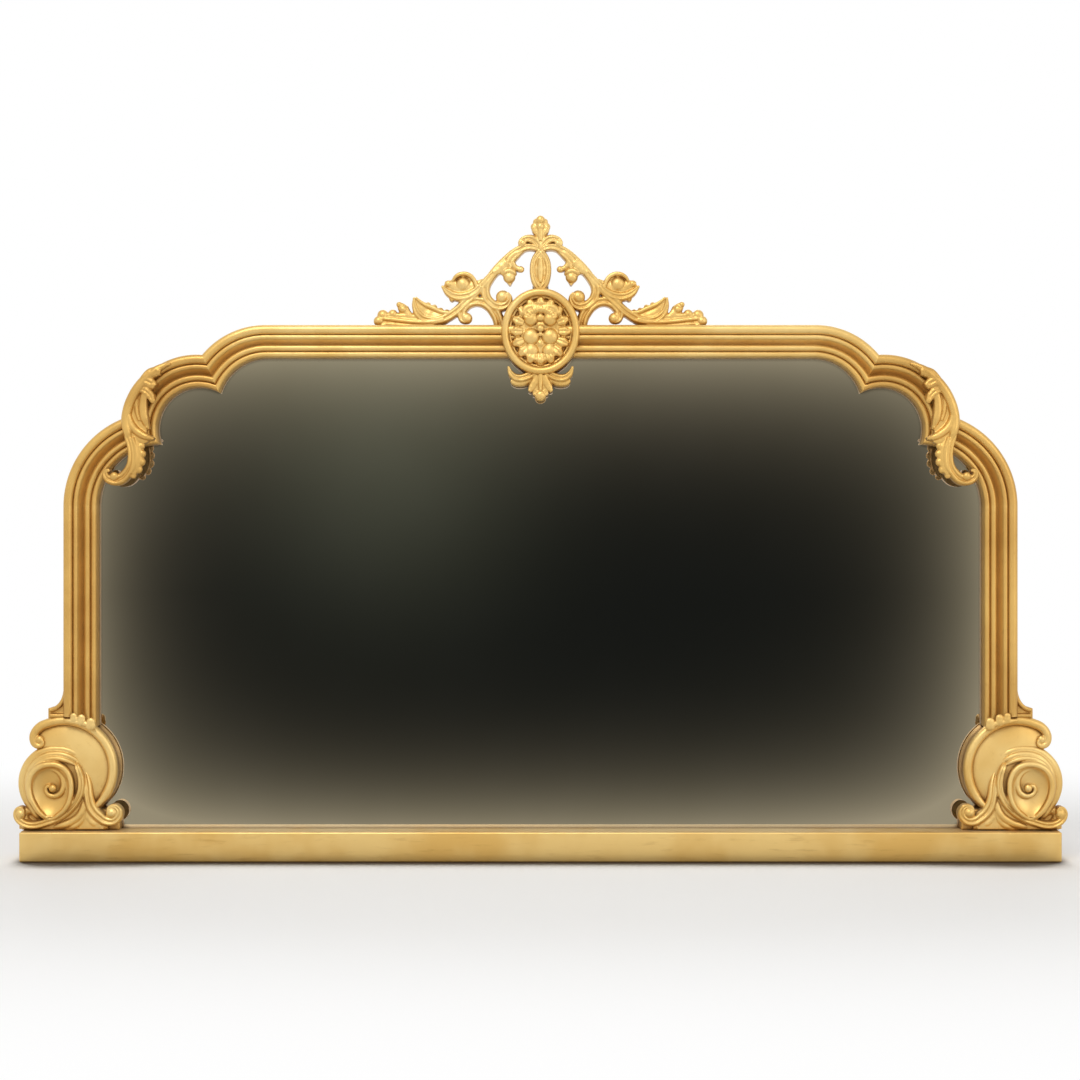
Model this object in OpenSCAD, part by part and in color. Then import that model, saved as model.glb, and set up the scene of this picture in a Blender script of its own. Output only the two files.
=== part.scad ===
// Overmantel mirror in carved and gilded wood.
// X runs to the right, Y runs back to the wall, Z runs up. The front faces -Y.
// The origin is the middle of the underside. The right half is drawn, and the left half mirrors it.

/* [Sight opening] */
// Clear width of mirror between the stiles
sight_w = 1338; // [1200:1:1500]
// Height of the straight stiles, from the plinth top to the spring of the lower arch
stile_h = 488; // [420:1:620]
// Sight radius of the lower arch
lower_arch_r = 94; // [86:1:100]
// Sight radius of the middle arch
mid_arch_r = 63; // [59:1:68]
// Sight radius of the top arch
top_arch_r = 75; // [70:1:82]
// Step in from the lower arch centre to the middle arch centre
mid_step_in = 58.5; // [54:0.5:64]
// Step up from the lower arch centre to the middle arch centre
mid_step_up = 117; // [110:0.5:124]
// Step in from the middle arch centre to the top arch centre
top_step_in = 103; // [96:0.5:108]
// Step up from the middle arch centre to the top arch centre
top_step_up = 32.5; // [26:0.5:38]

/* [Moulding] */
// Width of the moulding, seen from the front
moulding_w = 48; // [47:0.5:56]
// Thickness of the moulding at its outer bead
moulding_t = 40; // [38:0.5:46]
// Radius of the outer bead
outer_bead_r = 7; // [5:0.25:7.5]
// Radius of the arris between the hollow and the outer bead
arris_bead_r = 3.6; // [2.5:0.1:4.2]
// Radius of the inner bead
inner_bead_r = 4.5; // [3.2:0.1:4.8]
// Radius of the bead along the sight edge
sight_bead_r = 4.6; // [3.5:0.1:5]
// Thickness of the moulding at the sight edge
sight_lip_t = 14; // [10:0.5:17]

/* [Mirror plate] */
// Thickness of the mirror plate
glass_t = 4; // [3:0.5:6]
// How far the plate reaches behind the moulding
glass_lap = 8; // [5:0.5:12]
// Room between the edge of the plate and the sub-frame
glass_room = 2; // [1:0.5:4]
// Depth of the groove that the plate stands in
glass_groove = 6; // [3:0.5:9]

/* [Plinth] */
// Height of the plinth
plinth_h = 45; // [36:1:60]
// Depth of the plinth, front to back
plinth_d = 90; // [88:1:120]
// How far the plinth runs past the stiles at each end
plinth_reach = 63; // [50:1:80]
// Thickness of the plinth boards
plinth_board_t = 15; // [12:0.5:18]
// Radius of the worn arrises of the plinth
arris_r = 2.5; // [1:0.25:4]

/* [Sub-frame and back] */
// Thickness of the sub-frame, front to back
subframe_t = 22; // [20:0.5:30]
// How far the sub-frame stays inside the outer edge of the moulding
subframe_inset = 3; // [1:0.5:6]
// Thickness of the backboards
backboard_t = 7; // [5:0.5:10]
// Number of backboards, one above the other
backboard_count = 4; // [3:1:5]
// How far the backboards reach onto the sub-frame
backboard_lap = 8; // [6:0.5:9]
// Height of the sill rail behind the foot of the plate
sill_h = 40; // [30:1:60]

/* [Feet] */
// Radius of the round plate of each foot
foot_r = 80; // [74:1:84]
// Height of the centre of the round plate above the plinth
foot_centre_h = 92; // [86:1:96]
// Radius of the volute
volute_r = 56; // [52:1:58]
// Thickness of the backing of each foot
foot_board_t = 24; // [18:0.5:28]
// How far the volute stands out from the backing
volute_relief = 24; // [14:0.5:26]

/* [Crest] */
// Width of the oval medallion
medallion_w = 118; // [110:1:126]
// Height of the oval medallion
medallion_h = 130; // [122:1:140]
// Centre of the medallion below the top edge of the frame
medallion_drop = 10; // [4:1:14]
// Width of the rim of the medallion
medallion_rim_w = 10; // [7:0.5:12]
// Thickness of the openwork
fret_t = 24; // [16:0.5:30]
// How far the rim of the medallion stands out from the back of the moulding
medallion_t = 44; // [42:0.5:48]

/* [Shoulder sprays] */
// How far the leaf of each spray stands out from the moulding
spray_relief = 10; // [7:0.5:12]
// Thickness of the pierced loop
spray_loop_t = 22; // [20:0.5:23]

/* [Hangers] */
// Diameter of the ring wire
ring_wire_d = 4; // [3:0.25:5]
// Half the width of the ring, to the middle of its wire
ring_half_w = 10.5; // [10:0.25:11]
// Straight drop of the ring sides
ring_drop = 6; // [4:0.5:10]
// Radial play between the ring and its barrel
ring_play = 0.05; // [0.02:0.01:0.1]
// Width of the hanger strap
strap_w = 13; // [10:0.5:14]
// Length of the hanger strap above its barrel
strap_l = 46; // [40:1:60]
// Thickness of the hanger strap
strap_t = 1.5; // [1:0.1:2]
// How far the ring barrels lie below the spring of the lower arch
hanger_drop = 68; // [64:1:200]
// Shank diameter of the screws
screw_d = 3.5; // [3:0.25:4.5]
// Head diameter of the screws
screw_head_d = 8; // [6.5:0.25:9]
// Radial room round each screw shank
screw_room = 0.3; // [0.2:0.05:0.5]

/* [Hidden] */
SIDES = ["left", "right"];
PAIRED = ["plinth_end", "upright", "shoulder", "stile", "lower_arch", "mid_arch", "top_arch", "top_rail",
          "stile_bracket", "collar_leaves", "foot_board", "foot_rim", "foot_volute", "shoulder_spray",
          "crest_scroll", "hanger_strap", "hanger_ring"];
SINGLE = ["plinth_front", "plinth_top", "plinth_back", "plinth_bottom", "plinth_blocks", "mirror_plate",
          "plate_blocks", "head_rail", "sill_rail", "backboard_screws", "crest_block", "medallion",
          "medallion_boss", "medallion_pendant", "crest_ribbon", "crest_finial", "crest_brace",
          "crest_screws", "hanger_screws"];
$fn = 96;

// Depths, from the wall towards the viewer
wall_y = plinth_d / 2;
glass_front_y = 6;
moulding_front_y = glass_front_y - moulding_t;
subframe_back_y = glass_front_y + subframe_t;
backboard_back_y = subframe_back_y + backboard_t;

// The three arch centres of the right half, as [x, z]
lower_c = [sight_w / 2 - lower_arch_r, plinth_h + stile_h];
mid_c = lower_c + [-mid_step_in, mid_step_up];
top_c = mid_c + [-top_step_in, top_step_up];
sight_x = sight_w / 2;
outer_x = sight_x + moulding_w;
rail_top_z = top_c[1] + top_arch_r + moulding_w;
plinth_x = outer_x + plinth_reach;

// Offsets from the sight edge
subframe_in = glass_lap + glass_room;
subframe_out = moulding_w - subframe_inset;
backboard_out = subframe_in + backboard_lap;

// ---------- curves ----------

function arc(c, r, a0, a1, n) =
    [for (i = [0:n]) let (a = a0 + (a1 - a0) * i / n) c + r * [cos(a), sin(a)]];

function heading(p, c) = atan2(p[1] - c[1], p[0] - c[0]);

// The outer one of the two points where two circles cross
function crossing(c1, r1, c2, r2) =
    let (gap = norm(c2 - c1), u = (c2 - c1) / gap, along = (r1 * r1 - r2 * r2 + gap * gap) / (2 * gap))
    c1 + along * u + sqrt(r1 * r1 - along * along) * [u[1], -u[0]];

function lower_cusp(o) = crossing(lower_c, lower_arch_r + o, mid_c, mid_arch_r + o);
function upper_cusp(o) = crossing(mid_c, mid_arch_r + o, top_c, top_arch_r + o);

// The arches of the right half, at an offset from the sight edge
function arches(o, n = 8) = concat(
    arc(lower_c, lower_arch_r + o, 0, heading(lower_cusp(o), lower_c), n),
    [for (i = [1:n]) let (a0 = heading(lower_cusp(o), mid_c), a1 = heading(upper_cusp(o), mid_c))
        mid_c + (mid_arch_r + o) * [cos(a0 + (a1 - a0) * i / n), sin(a0 + (a1 - a0) * i / n)]],
    [for (i = [1:n]) let (a0 = heading(upper_cusp(o), top_c))
        top_c + (top_arch_r + o) * [cos(a0 + (90 - a0) * i / n), sin(a0 + (90 - a0) * i / n)]]);

function reversed(pts) = [for (i = [len(pts) - 1:-1:0]) pts[i]];

function flip(pts) = [for (p = reversed(pts)) [-p[0], p[1]]];

// The whole frame outline at an offset from the sight edge, closed along the height base_z
function outline(o, base_z) =
    concat([[sight_x + o, base_z]], arches(o), flip(arches(o)), [[-sight_x - o, base_z]]);

function oval(rx, rz, n = 64) = [for (i = [0:n - 1]) [rx * cos(360 * i / n), rz * sin(360 * i / n)]];

// A smooth curve through control points; a point may carry further values, such as a radius
function spline_at(a, b, c, d, t) =
    0.5 * (2 * b + (c - a) * t + (2 * a - 5 * b + 4 * c - d) * t * t + (3 * b - a - 3 * c + d) * t * t * t);
function spline(pts, steps) = let (last = len(pts) - 1) concat(
    [for (i = [0:last - 1]) for (s = [0:steps - 1])
        spline_at(pts[max(i - 1, 0)], pts[i], pts[i + 1], pts[min(i + 2, last)], s / steps)],
    [pts[last]]);

// ---------- building blocks ----------

// Raises a front-view drawing from one depth towards the viewer to another
module slab(back_y, front_y) {
    translate([0, back_y, 0]) rotate([90, 0, 0]) linear_extrude(back_y - front_y) children();
}

module mirrored(side) {
    if (side == "left") mirror([1, 0, 0]) children();
    else children();
}

// A carved roll along a curve of [x, z, radius] points: wide at its back, narrow at its front
module roll(pts, back_y, front_y, steps = 2, sides = 8) {
    path = spline(pts, steps);
    for (i = [0:len(path) - 2]) hull() for (p = [path[i], path[i + 1]])
        translate([p[0], back_y, p[1]]) rotate([90, 22.5, 0])
            cylinder(h = back_y - front_y, r1 = p[2], r2 = p[2] * 0.5, $fn = sides);
}

// A carved bud or ball
module knob(x, z, r, back_y, front_y) {
    hull() {
        translate([x, back_y, z]) rotate([90, 0, 0]) cylinder(h = (back_y - front_y) * 0.6, r = r, $fn = 12);
        translate([x, back_y, z]) rotate([90, 0, 0]) cylinder(h = back_y - front_y, r = r * 0.5, $fn = 12);
    }
}

screw_head_h = 2;

// A round-headed wood screw that enters along -Y, its head resting on the plane at y
module screw(x, y, z, length) {
    translate([x, y, z]) rotate([90, 0, 0]) cylinder(h = length, d = screw_d, $fn = 24);
    translate([x, y, z]) rotate([-90, 0, 0])
        cylinder(h = screw_head_h, d1 = screw_head_d, d2 = screw_head_d * 0.6, $fn = 24);
}

module screw_hole(x, y, z, length) {
    translate([x, y + 1, z]) rotate([90, 0, 0])
        cylinder(h = length + 2, d = screw_d + 2 * screw_room, $fn = 24);
}

// ---------- moulding ----------

// Section of the moulding: distance from the sight edge, and height towards the viewer
bead_c = [moulding_w - outer_bead_r, moulding_t - outer_bead_r];
sight_bead_c = [sight_bead_r + 0.8, sight_lip_t + sight_bead_r - 0.6];
inner_bead_c = sight_bead_c + [sight_bead_r + inner_bead_r - 0.2, sight_bead_r + 0.2];
arris_c = bead_c - [outer_bead_r + arris_bead_r + 0.4, 0.5];
arris = arc(arris_c, arris_bead_r, 110, 10, 5);
cyma_foot = inner_bead_c + [inner_bead_r + 0.2, -1];
cyma_run = arris[0] - cyma_foot;
cyma_steps = 7;
section = concat(
    [[0, 0]],
    [[0, sight_lip_t]],
    arc(sight_bead_c, sight_bead_r, 180, 30, 6),
    arc(inner_bead_c, inner_bead_r, 165, 0, 6),
    [for (i = [0:cyma_steps - 1]) let (t = i / cyma_steps)
        cyma_foot + [t * cyma_run[0], (3 * t * t - 2 * t * t * t) * cyma_run[1]]],
    arris,
    [bead_c - [outer_bead_r + 0.2, 0.6]],
    arc(bead_c, outer_bead_r, 170, 0, 7),
    [[moulding_w, 0]]);

// The section swept round an arch of the right half
module arch_moulding(c, r, a0, a1) {
    translate([c[0], glass_front_y, c[1]]) rotate([90, 0, 0]) rotate([0, 0, a0])
        rotate_extrude(angle = a1 - a0) polygon([for (p = section) [r + p[0], p[1]]]);
}

// Everything on one side of the mitre line through two points
module mitre_waste(p_in, p_out, side) {
    reach = 400;
    u = (p_out - p_in) / norm(p_out - p_in);
    v = side * [u[1], -u[0]];
    slab(glass_front_y + 5, moulding_front_y - 5)
        polygon([p_in - 60 * u, p_out + reach * u,
                 p_out + reach * u + reach * v, p_in - 60 * u + reach * v]);
}

module stile(side) {
    color("goldenrod") mirrored(side) difference() {
        translate([0, 0, plinth_h + 60]) linear_extrude(stile_h - 60)
            polygon([for (p = section) [sight_x + p[0], glass_front_y - p[1]]]);
        foot_disc(glass_front_y + 5, moulding_front_y - 5);
    }
}

module lower_arch(side) {
    color("goldenrod") mirrored(side) difference() {
        arch_moulding(lower_c, lower_arch_r, 0, heading(lower_cusp(0), lower_c) + 5);
        mitre_waste(lower_cusp(0), lower_cusp(moulding_w), -1);
    }
}

module mid_arch(side) {
    color("goldenrod") mirrored(side) difference() {
        arch_moulding(mid_c, mid_arch_r,
                      heading(lower_cusp(0), mid_c) - 5, heading(upper_cusp(0), mid_c) + 5);
        mitre_waste(lower_cusp(0), lower_cusp(moulding_w), 1);
        mitre_waste(upper_cusp(0), upper_cusp(moulding_w), -1);
    }
}

module top_arch(side) {
    color("goldenrod") mirrored(side) difference() {
        arch_moulding(top_c, top_arch_r, heading(upper_cusp(0), top_c) - 5, 90);
        mitre_waste(upper_cusp(0), upper_cusp(moulding_w), 1);
    }
}

module top_rail(side) {
    color("goldenrod") mirrored(side) difference() {
        rotate([90, 0, 90]) linear_extrude(top_c[0])
            polygon([for (p = section) [glass_front_y - p[1], rail_top_z - moulding_w + p[0]]]);
        medallion_outline(glass_front_y + 5, moulding_front_y - 5);
    }
}

// ---------- plinth ----------

plinth_front_y = -plinth_d / 2;

module plinth_front() {
    corner = arris_r;
    top_front = arc([plinth_front_y + corner, plinth_h - corner], corner, 180, 90, 4);
    low_front = arc([plinth_front_y + corner, corner], corner, 270, 180, 4);
    back = plinth_front_y + plinth_board_t;
    color("goldenrod") translate([-plinth_x, 0, 0]) rotate([90, 0, 90]) linear_extrude(2 * plinth_x)
        polygon(concat([[back, 0]], low_front, top_front, [[back, plinth_h]]));
}

module plinth_end(side) {
    color("goldenrod") mirrored(side)
        translate([plinth_x - plinth_board_t, plinth_front_y + plinth_board_t, 0])
            cube([plinth_board_t, plinth_d - plinth_board_t, plinth_h]);
}

plinth_in_x = plinth_x - plinth_board_t;
plinth_in_y = plinth_front_y + plinth_board_t;
plinth_bottom_t = 8;
groove_room = 0.5;

module plinth_top() {
    color("darkgoldenrod") difference() {
        translate([-plinth_in_x, plinth_in_y, plinth_h - plinth_board_t])
            cube([2 * plinth_in_x, wall_y - plinth_in_y, plinth_board_t]);
        translate([-sight_x - glass_lap - groove_room, glass_front_y - groove_room, plinth_h - glass_groove])
            cube([sight_w + 2 * (glass_lap + groove_room), glass_t + 2 * groove_room, glass_groove + 1]);
    }
}

module plinth_back() {
    color("burlywood") translate([-plinth_in_x, wall_y - plinth_board_t, plinth_bottom_t])
        cube([2 * plinth_in_x, plinth_board_t, plinth_h - plinth_board_t - plinth_bottom_t]);
}

module plinth_bottom() {
    color("burlywood") translate([-plinth_in_x, plinth_in_y, 0])
        cube([2 * plinth_in_x, wall_y - plinth_in_y, plinth_bottom_t]);
}

// Three-cornered glue blocks behind the front board
module plinth_blocks() {
    block = plinth_h - plinth_board_t - plinth_bottom_t;
    length = 60;
    count = 6;
    pitch = 2 * plinth_in_x / count;
    color("burlywood") for (i = [0:count - 1])
        translate([-plinth_in_x + (i + 0.5) * pitch - length / 2, plinth_in_y, plinth_bottom_t])
            rotate([90, 0, 90]) linear_extrude(length) polygon([[0, 0], [block, 0], [0, block]]);
}

// ---------- plate, sub-frame and back ----------

module mirror_plate() {
    color("dimgray") slab(glass_front_y + glass_t, glass_front_y)
        polygon(outline(glass_lap, plinth_h - glass_groove));
}

hanger_x = sight_x + backboard_out + (subframe_out - backboard_out) / 2;
hanger_z = plinth_h + stile_h - hanger_drop;
hanger_screw_zs = [strap_l * 0.45, strap_l * 0.85];
screw_grip = 16;

module hanger_holes(side) {
    for (z = hanger_screw_zs) screw_hole(hanger_x, subframe_back_y + strap_t, hanger_z + z, screw_grip);
}

module upright(side) {
    color("burlywood") mirrored(side) difference() {
        translate([sight_x + subframe_in, glass_front_y, plinth_h])
            cube([subframe_out - subframe_in, subframe_t, stile_h]);
        hanger_holes(side);
        board_screw_holes();
    }
}

module shoulder(side) {
    color("burlywood") mirrored(side) difference() {
        slab(subframe_back_y, glass_front_y)
            polygon(concat(arches(subframe_out), reversed(arches(subframe_in))));
        board_screw_holes();
    }
}

module head_rail() {
    color("burlywood") difference() {
        translate([-top_c[0], glass_front_y, rail_top_z - moulding_w + subframe_in])
            cube([2 * top_c[0], subframe_t, subframe_out - subframe_in]);
        for (x = brace_screw_xs) screw_hole(x, subframe_back_y + brace_t, brace_screw_z, screw_grip);
        board_screw_holes();
        mirror([1, 0, 0]) board_screw_holes();
    }
}

sill_front_y = glass_front_y + glass_t + groove_room;

module sill_rail() {
    color("burlywood") difference() {
        translate([-sight_x - subframe_in, sill_front_y, plinth_h])
            cube([sight_w + 2 * subframe_in, subframe_back_y - sill_front_y, sill_h]);
        for (x = sill_screw_xs) screw_hole(x, backboard_back_y, sill_screw_z, screw_grip);
    }
}

// Small blocks glued into the rebate, which hold the plate against the moulding
block_s = 12;
block_l = 50;

module plate_blocks() {
    back_y = glass_front_y + glass_t;
    side_room = stile_h - sill_h - block_l;
    head_z = rail_top_z - moulding_w + subframe_in;
    color("tan") {
        for (side = SIDES) mirrored(side) for (k = [0.3, 0.8])
            translate([sight_x + subframe_in - block_s, back_y, plinth_h + sill_h + k * side_room])
                cube([block_s, block_s, block_l]);
        for (k = [-0.8, 0, 0.8])
            translate([k * (top_c[0] - block_l) - block_l / 2, back_y, head_z - block_s])
                cube([block_l, block_s, block_s]);
    }
}

// Screws that hold the backboards: up the uprights, along the head rail and along the sill
board_h = (rail_top_z - moulding_w + backboard_out - plinth_h) / backboard_count;
side_screw_x = sight_x + subframe_in + backboard_lap / 2;
head_screw_z = rail_top_z - moulding_w + subframe_in + backboard_lap / 2;
side_screw_zs = [for (i = [0:2]) plinth_h + (i + 0.5) * stile_h / 3];
head_screw_xs = [0.35, 0.9];
sill_screw_xs = [-sight_w * 0.4, -sight_w * 0.13, sight_w * 0.13, sight_w * 0.4];
sill_screw_z = plinth_h + sill_h / 2;

module board_screw_holes() {
    for (z = side_screw_zs) screw_hole(side_screw_x, backboard_back_y, z, screw_grip + backboard_t);
    for (x = head_screw_xs)
        screw_hole(x * top_c[0], backboard_back_y, head_screw_z, screw_grip + backboard_t);
}

module backboard(i) {
    color("peru") difference() {
        intersection() {
            slab(backboard_back_y, subframe_back_y) polygon(outline(backboard_out, plinth_h));
            translate([-sight_w, 0, plinth_h + (i - 1) * board_h]) cube([2 * sight_w, plinth_d, board_h]);
        }
        for (side = SIDES) mirrored(side) board_screw_holes();
        for (x = sill_screw_xs) screw_hole(x, backboard_back_y, sill_screw_z, screw_grip);
    }
}

module backboard_screws() {
    color("slategray") {
        for (side = SIDES) mirrored(side) {
            for (z = side_screw_zs) screw(side_screw_x, backboard_back_y, z, screw_grip);
            for (x = head_screw_xs) screw(x * top_c[0], backboard_back_y, head_screw_z, screw_grip);
        }
        for (x = sill_screw_xs) screw(x, backboard_back_y, sill_screw_z, screw_grip);
    }
}

// ---------- feet ----------

// The round plate is centred on the outer edge of the stile
foot_c = [outer_x, plinth_h + foot_centre_h];
foot_face_y = glass_front_y - foot_board_t;
volute_front_y = foot_face_y - volute_relief;
rim_front_y = foot_face_y - 10;
scroll_front_y = foot_face_y - 16;

// The foot is drawn round a plate and a volute of these radii, and follows the real ones
foot_drawn_r = 80;
volute_drawn_r = 56;
foot_k = foot_r / foot_drawn_r;
volute_k = volute_r / volute_drawn_r;
volute_c = foot_c + foot_k * [16, -22];
foot_notch_x = foot_k * 51;

// Points given from the centre of the round plate, from the plinth below it, or from the volute
function at_foot(pts) =
    [for (p = pts) [foot_c[0] + foot_k * p[0], foot_c[1] + foot_k * p[1], foot_k * p[2]]];
function at_base(pts) =
    [for (p = pts) [foot_c[0] + foot_k * p[0], plinth_h + foot_k * p[1], foot_k * p[2]]];
function at_volute(pts) =
    [for (p = pts) [volute_c[0] + volute_k * p[0], volute_c[1] + volute_k * p[1], volute_k * p[2]]];

module foot_disc(back_y, front_y) {
    translate([foot_c[0], back_y, foot_c[1]]) rotate([90, 0, 0]) cylinder(h = back_y - front_y, r = foot_r);
}

// Backing, cut to the outline of the round plate, the volute and the scrolls along the plinth
module foot_board(side) {
    base_in = foot_k * 78;
    base_out = foot_k * 62;
    base_top = foot_k * 30;
    color("goldenrod") mirrored(side) intersection() {
        union() {
            intersection() {
                foot_disc(glass_front_y, foot_face_y);
                translate([foot_c[0] - foot_r, -plinth_d, plinth_h])
                    cube([foot_r + foot_notch_x, 2 * plinth_d, 2 * foot_r + plinth_h]);
            }
            translate([volute_c[0], glass_front_y, volute_c[1]]) rotate([90, 0, 0])
                cylinder(h = foot_board_t, r = volute_r);
            translate([foot_c[0] - base_in, foot_face_y, plinth_h])
                cube([base_in + base_out, foot_board_t, base_top]);
        }
        translate([0, -plinth_d, plinth_h]) cube([2 * sight_w, 2 * plinth_d, 3 * foot_r]);
    }
}

// Roll round the edge of the round plate, from its outer curl down to the sight side
module foot_rim(side) {
    rim_r = 5;
    sweep_r = foot_r - rim_r;
    curl = at_foot([[44, 38, 4], [48, 43, rim_r], [49, 51, rim_r], [45, 59, rim_r]]);
    rim = [for (a = [58:9:212]) [foot_c[0] + sweep_r * cos(a), foot_c[1] + sweep_r * sin(a), rim_r]];
    color("gold") mirrored(side) {
        roll(concat(curl, rim), foot_face_y, rim_front_y, 1);
        knob(foot_c[0] + foot_k * 38.5, foot_c[1] + foot_k * 44, 6, foot_face_y, rim_front_y - 2);
    }
}

// Volute of nested rolls round a drop-shaped dish, and the scrolls that run from it along the plinth
module foot_volute(side) {
    back = foot_face_y;
    outer_roll = [for (a = [140:-13:-82]) [(volute_r - 7.5) * cos(a), (volute_r - 7.5) * sin(a), 7]];
    middle_roll = [for (a = [152:-14:-60]) [1 + (volute_r - 18) * cos(a), -3 + (volute_r - 18) * sin(a), 5]];
    dish_edge = [for (a = [270:-20:-90]) let (drop = abs(a) == 90 || a == 270 ? 18 : 0)
        [1 + (volute_r - 28) * cos(a), -6 + (volute_r - 28) * sin(a) - drop, 4.5]];
    color("gold") mirrored(side) difference() {
        union() {
            translate([volute_c[0], back, volute_c[1]]) rotate([90, 0, 0])
                cylinder(h = volute_relief * 0.35, r = volute_r - 3, $fn = 48);
            roll(at_volute(outer_roll), back, back - volute_relief * 0.75, 1);
            roll(at_volute(middle_roll), back, back - volute_relief * 0.88, 1);
            roll(at_volute(dish_edge), back, volute_front_y, 1);
            knob(volute_c[0] + 1, volute_c[1] - 5, 6, back, volute_front_y + 4);
            roll(at_volute([[-4, -14, 4], [-13, -17, 6], [-20, -10, 5]]), back, volute_front_y + 6, 1);
            // strand down the inner side, under the volute and out to the curl at the end of the plinth
            roll(concat(at_foot([[-31, -10, 4], [-29, -43, 5], [-10, -62, 5]]),
                        at_base([[10, 17, 6], [39, 8, 6], [60, 11, 6]])), back, scroll_front_y, 2);
            knob(foot_c[0] + foot_k * 65, plinth_h + foot_k * 24, foot_k * 10, back, scroll_front_y);
            // strand from the round plate to the curl on the sight side
            roll(concat(at_foot([[-42, -15, 5], [-44, -52, 5]]),
                        at_base([[-54, 21, 6], [-69, 9, 6], [-82, 15, 5], [-82, 26, 4]])),
                 back, scroll_front_y, 2);
            knob(foot_c[0] - foot_k * 72, plinth_h + foot_k * 24, foot_k * 7, back, scroll_front_y - 2);
            roll(at_base([[-62, 6, 6], [0, 6, 6], [56, 6, 6]]), back, scroll_front_y + 4, 1);
        }
        // seat on the plinth
        translate([0, -plinth_d, -plinth_h]) cube([2 * sight_w, 2 * plinth_d, 2 * plinth_h]);
        // room for the curl of the rim
        translate([foot_c[0] + foot_k * 39, back + 1, foot_c[1] + foot_k * 44.5]) rotate([90, 0, 0])
            cylinder(h = volute_relief + 2, r = foot_k * 13, $fn = 24);
    }
}

// Hollow-sided bracket that widens the foot of the stile
bracket_w = 24;
bracket_h = 36;
stile_foot_z = foot_c[1] + foot_r;

module stile_bracket(side) {
    front_y = glass_front_y - moulding_t + outer_bead_r;
    tip_x = outer_x + bracket_w;
    hollow = arc([tip_x, stile_foot_z + bracket_h], bracket_w, 260, 190, 6);
    color("goldenrod") mirrored(side) difference() {
        slab(glass_front_y, front_y)
            polygon(concat([[outer_x, stile_foot_z - 8]], [[tip_x, stile_foot_z - 8]],
                           [[tip_x, stile_foot_z + 6]], hollow, [[outer_x, stile_foot_z + bracket_h + 8]]));
        foot_disc(glass_front_y + 5, front_y - 5);
    }
}

// Band of small leaves lapped over the beads at the foot of the stile
module collar_leaves(side) {
    leaf_t = 5;
    leaves = [[-6, 0, 7], [-19, -4, 8], [-34, -6, 7], [-44, -11, 6]];
    color("gold") mirrored(side) difference() {
        union() {
            for (leaf = leaves) hull() {
                translate([outer_x + leaf[0], moulding_front_y, stile_foot_z + leaf[1]]) rotate([90, 0, 0])
                    cylinder(h = leaf_t, r1 = leaf[2], r2 = leaf[2] * 0.6, $fn = 12);
                translate([outer_x + leaf[0] + 1, moulding_front_y, stile_foot_z + leaf[1] + 10])
                    rotate([90, 0, 0]) cylinder(h = leaf_t * 0.6, r = 2, $fn = 8);
            }
            slab(moulding_front_y, moulding_front_y - leaf_t * 0.6)
                polygon([[outer_x - 46, stile_foot_z - 24], [outer_x - 46, stile_foot_z - 6],
                         [outer_x - 2, stile_foot_z + 4], [outer_x - 2, stile_foot_z - 24]]);
        }
        foot_disc(glass_front_y + 5, moulding_front_y - 2 * leaf_t);
    }
}

// ---------- shoulder sprays ----------

spray_back_y = moulding_front_y;
spray_front_y = moulding_front_y - spray_relief;
loop_back_y = spray_front_y + spray_loop_t;

// The spray is drawn round an arch of this outer radius, and follows the real one
spray_drawn_r = 111;
spray_k = (mid_arch_r + moulding_w) / spray_drawn_r;
function at_mid(pts) =
    [for (p = pts) [mid_c[0] + spray_k * p[0], mid_c[1] + spray_k * p[1], spray_k * p[2]]];

// Leaf that laps the middle arch and ends in a pierced loop over the corner of the plate
module shoulder_spray(side) {
    blade = [[67, 91], [90, 70], [104, 42], [108, 12], [104, -6], [90, -14], [76, -20], [66, -20], [70, -8],
             [74, 12], [74, 35], [68, 55], [58, 72], [50, 90]];
    color("gold") mirrored(side) {
        // outer edge of the leaf
        roll(at_mid([[36, 106, 3], [67, 91, 5], [90, 70, 7], [104, 42, 7], [108, 12, 7], [104, -6, 6.5],
                     [98, -24, 6]]), spray_back_y, spray_front_y, 3);
        slab(spray_back_y, spray_back_y - 4) translate(mid_c) polygon(spray_k * blade);
        // lip of the leaf, down to the cusp, and its inner edge
        roll(at_mid([[106, 22, 5], [99, -3, 5], [84, -16, 5], [70, -21, 4.5], [62, -18, 2.5]]),
             spray_back_y, spray_front_y + 2, 2);
        roll(at_mid([[46, 94, 3], [60, 78, 5], [69, 60, 5], [74, 36, 4.5], [74, 14, 4]]),
             spray_back_y, spray_front_y + 2, 2);
        roll(at_mid([[74, 70, 5], [86, 48, 5], [90, 24, 5], [88, 6, 3]]),
             spray_back_y, spray_front_y + 4, 1);
        // pierced loop
        roll(at_mid([[98, -22, 6], [94, -40, 6.5], [95, -58, 6.5], [104, -73, 6.5], [117, -80, 6.5],
                     [130, -77, 6], [136, -69, 4]]), loop_back_y, spray_front_y, 3);
        knob(mid_c[0] + spray_k * 124.5, mid_c[1] - spray_k * 72, spray_k * 5, loop_back_y, spray_front_y);
        // serrated leaf beside the loop
        for (leaf = [[88, -33, 80, -36], [86, -44, 76, -47], [87, -55, 78, -60], [90, -64, 85, -73]]) {
            root = mid_c + spray_k * [leaf[0], leaf[1]];
            tip = mid_c + spray_k * [leaf[2], leaf[3]];
            hull() {
                knob(root[0], root[1], spray_k * 6, loop_back_y, spray_front_y + 5);
                knob(tip[0], tip[1], spray_k * 2.5, loop_back_y, spray_front_y + 7);
            }
        }
    }
}

// ---------- crest ----------

medallion_c = [0, rail_top_z - medallion_drop];
medallion_front_y = glass_front_y - medallion_t;
medallion_face_y = medallion_front_y + 12;
fret_back_y = glass_front_y;
fret_front_y = fret_back_y - fret_t;

pendant_z = medallion_c[1] - medallion_h / 2;

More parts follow.
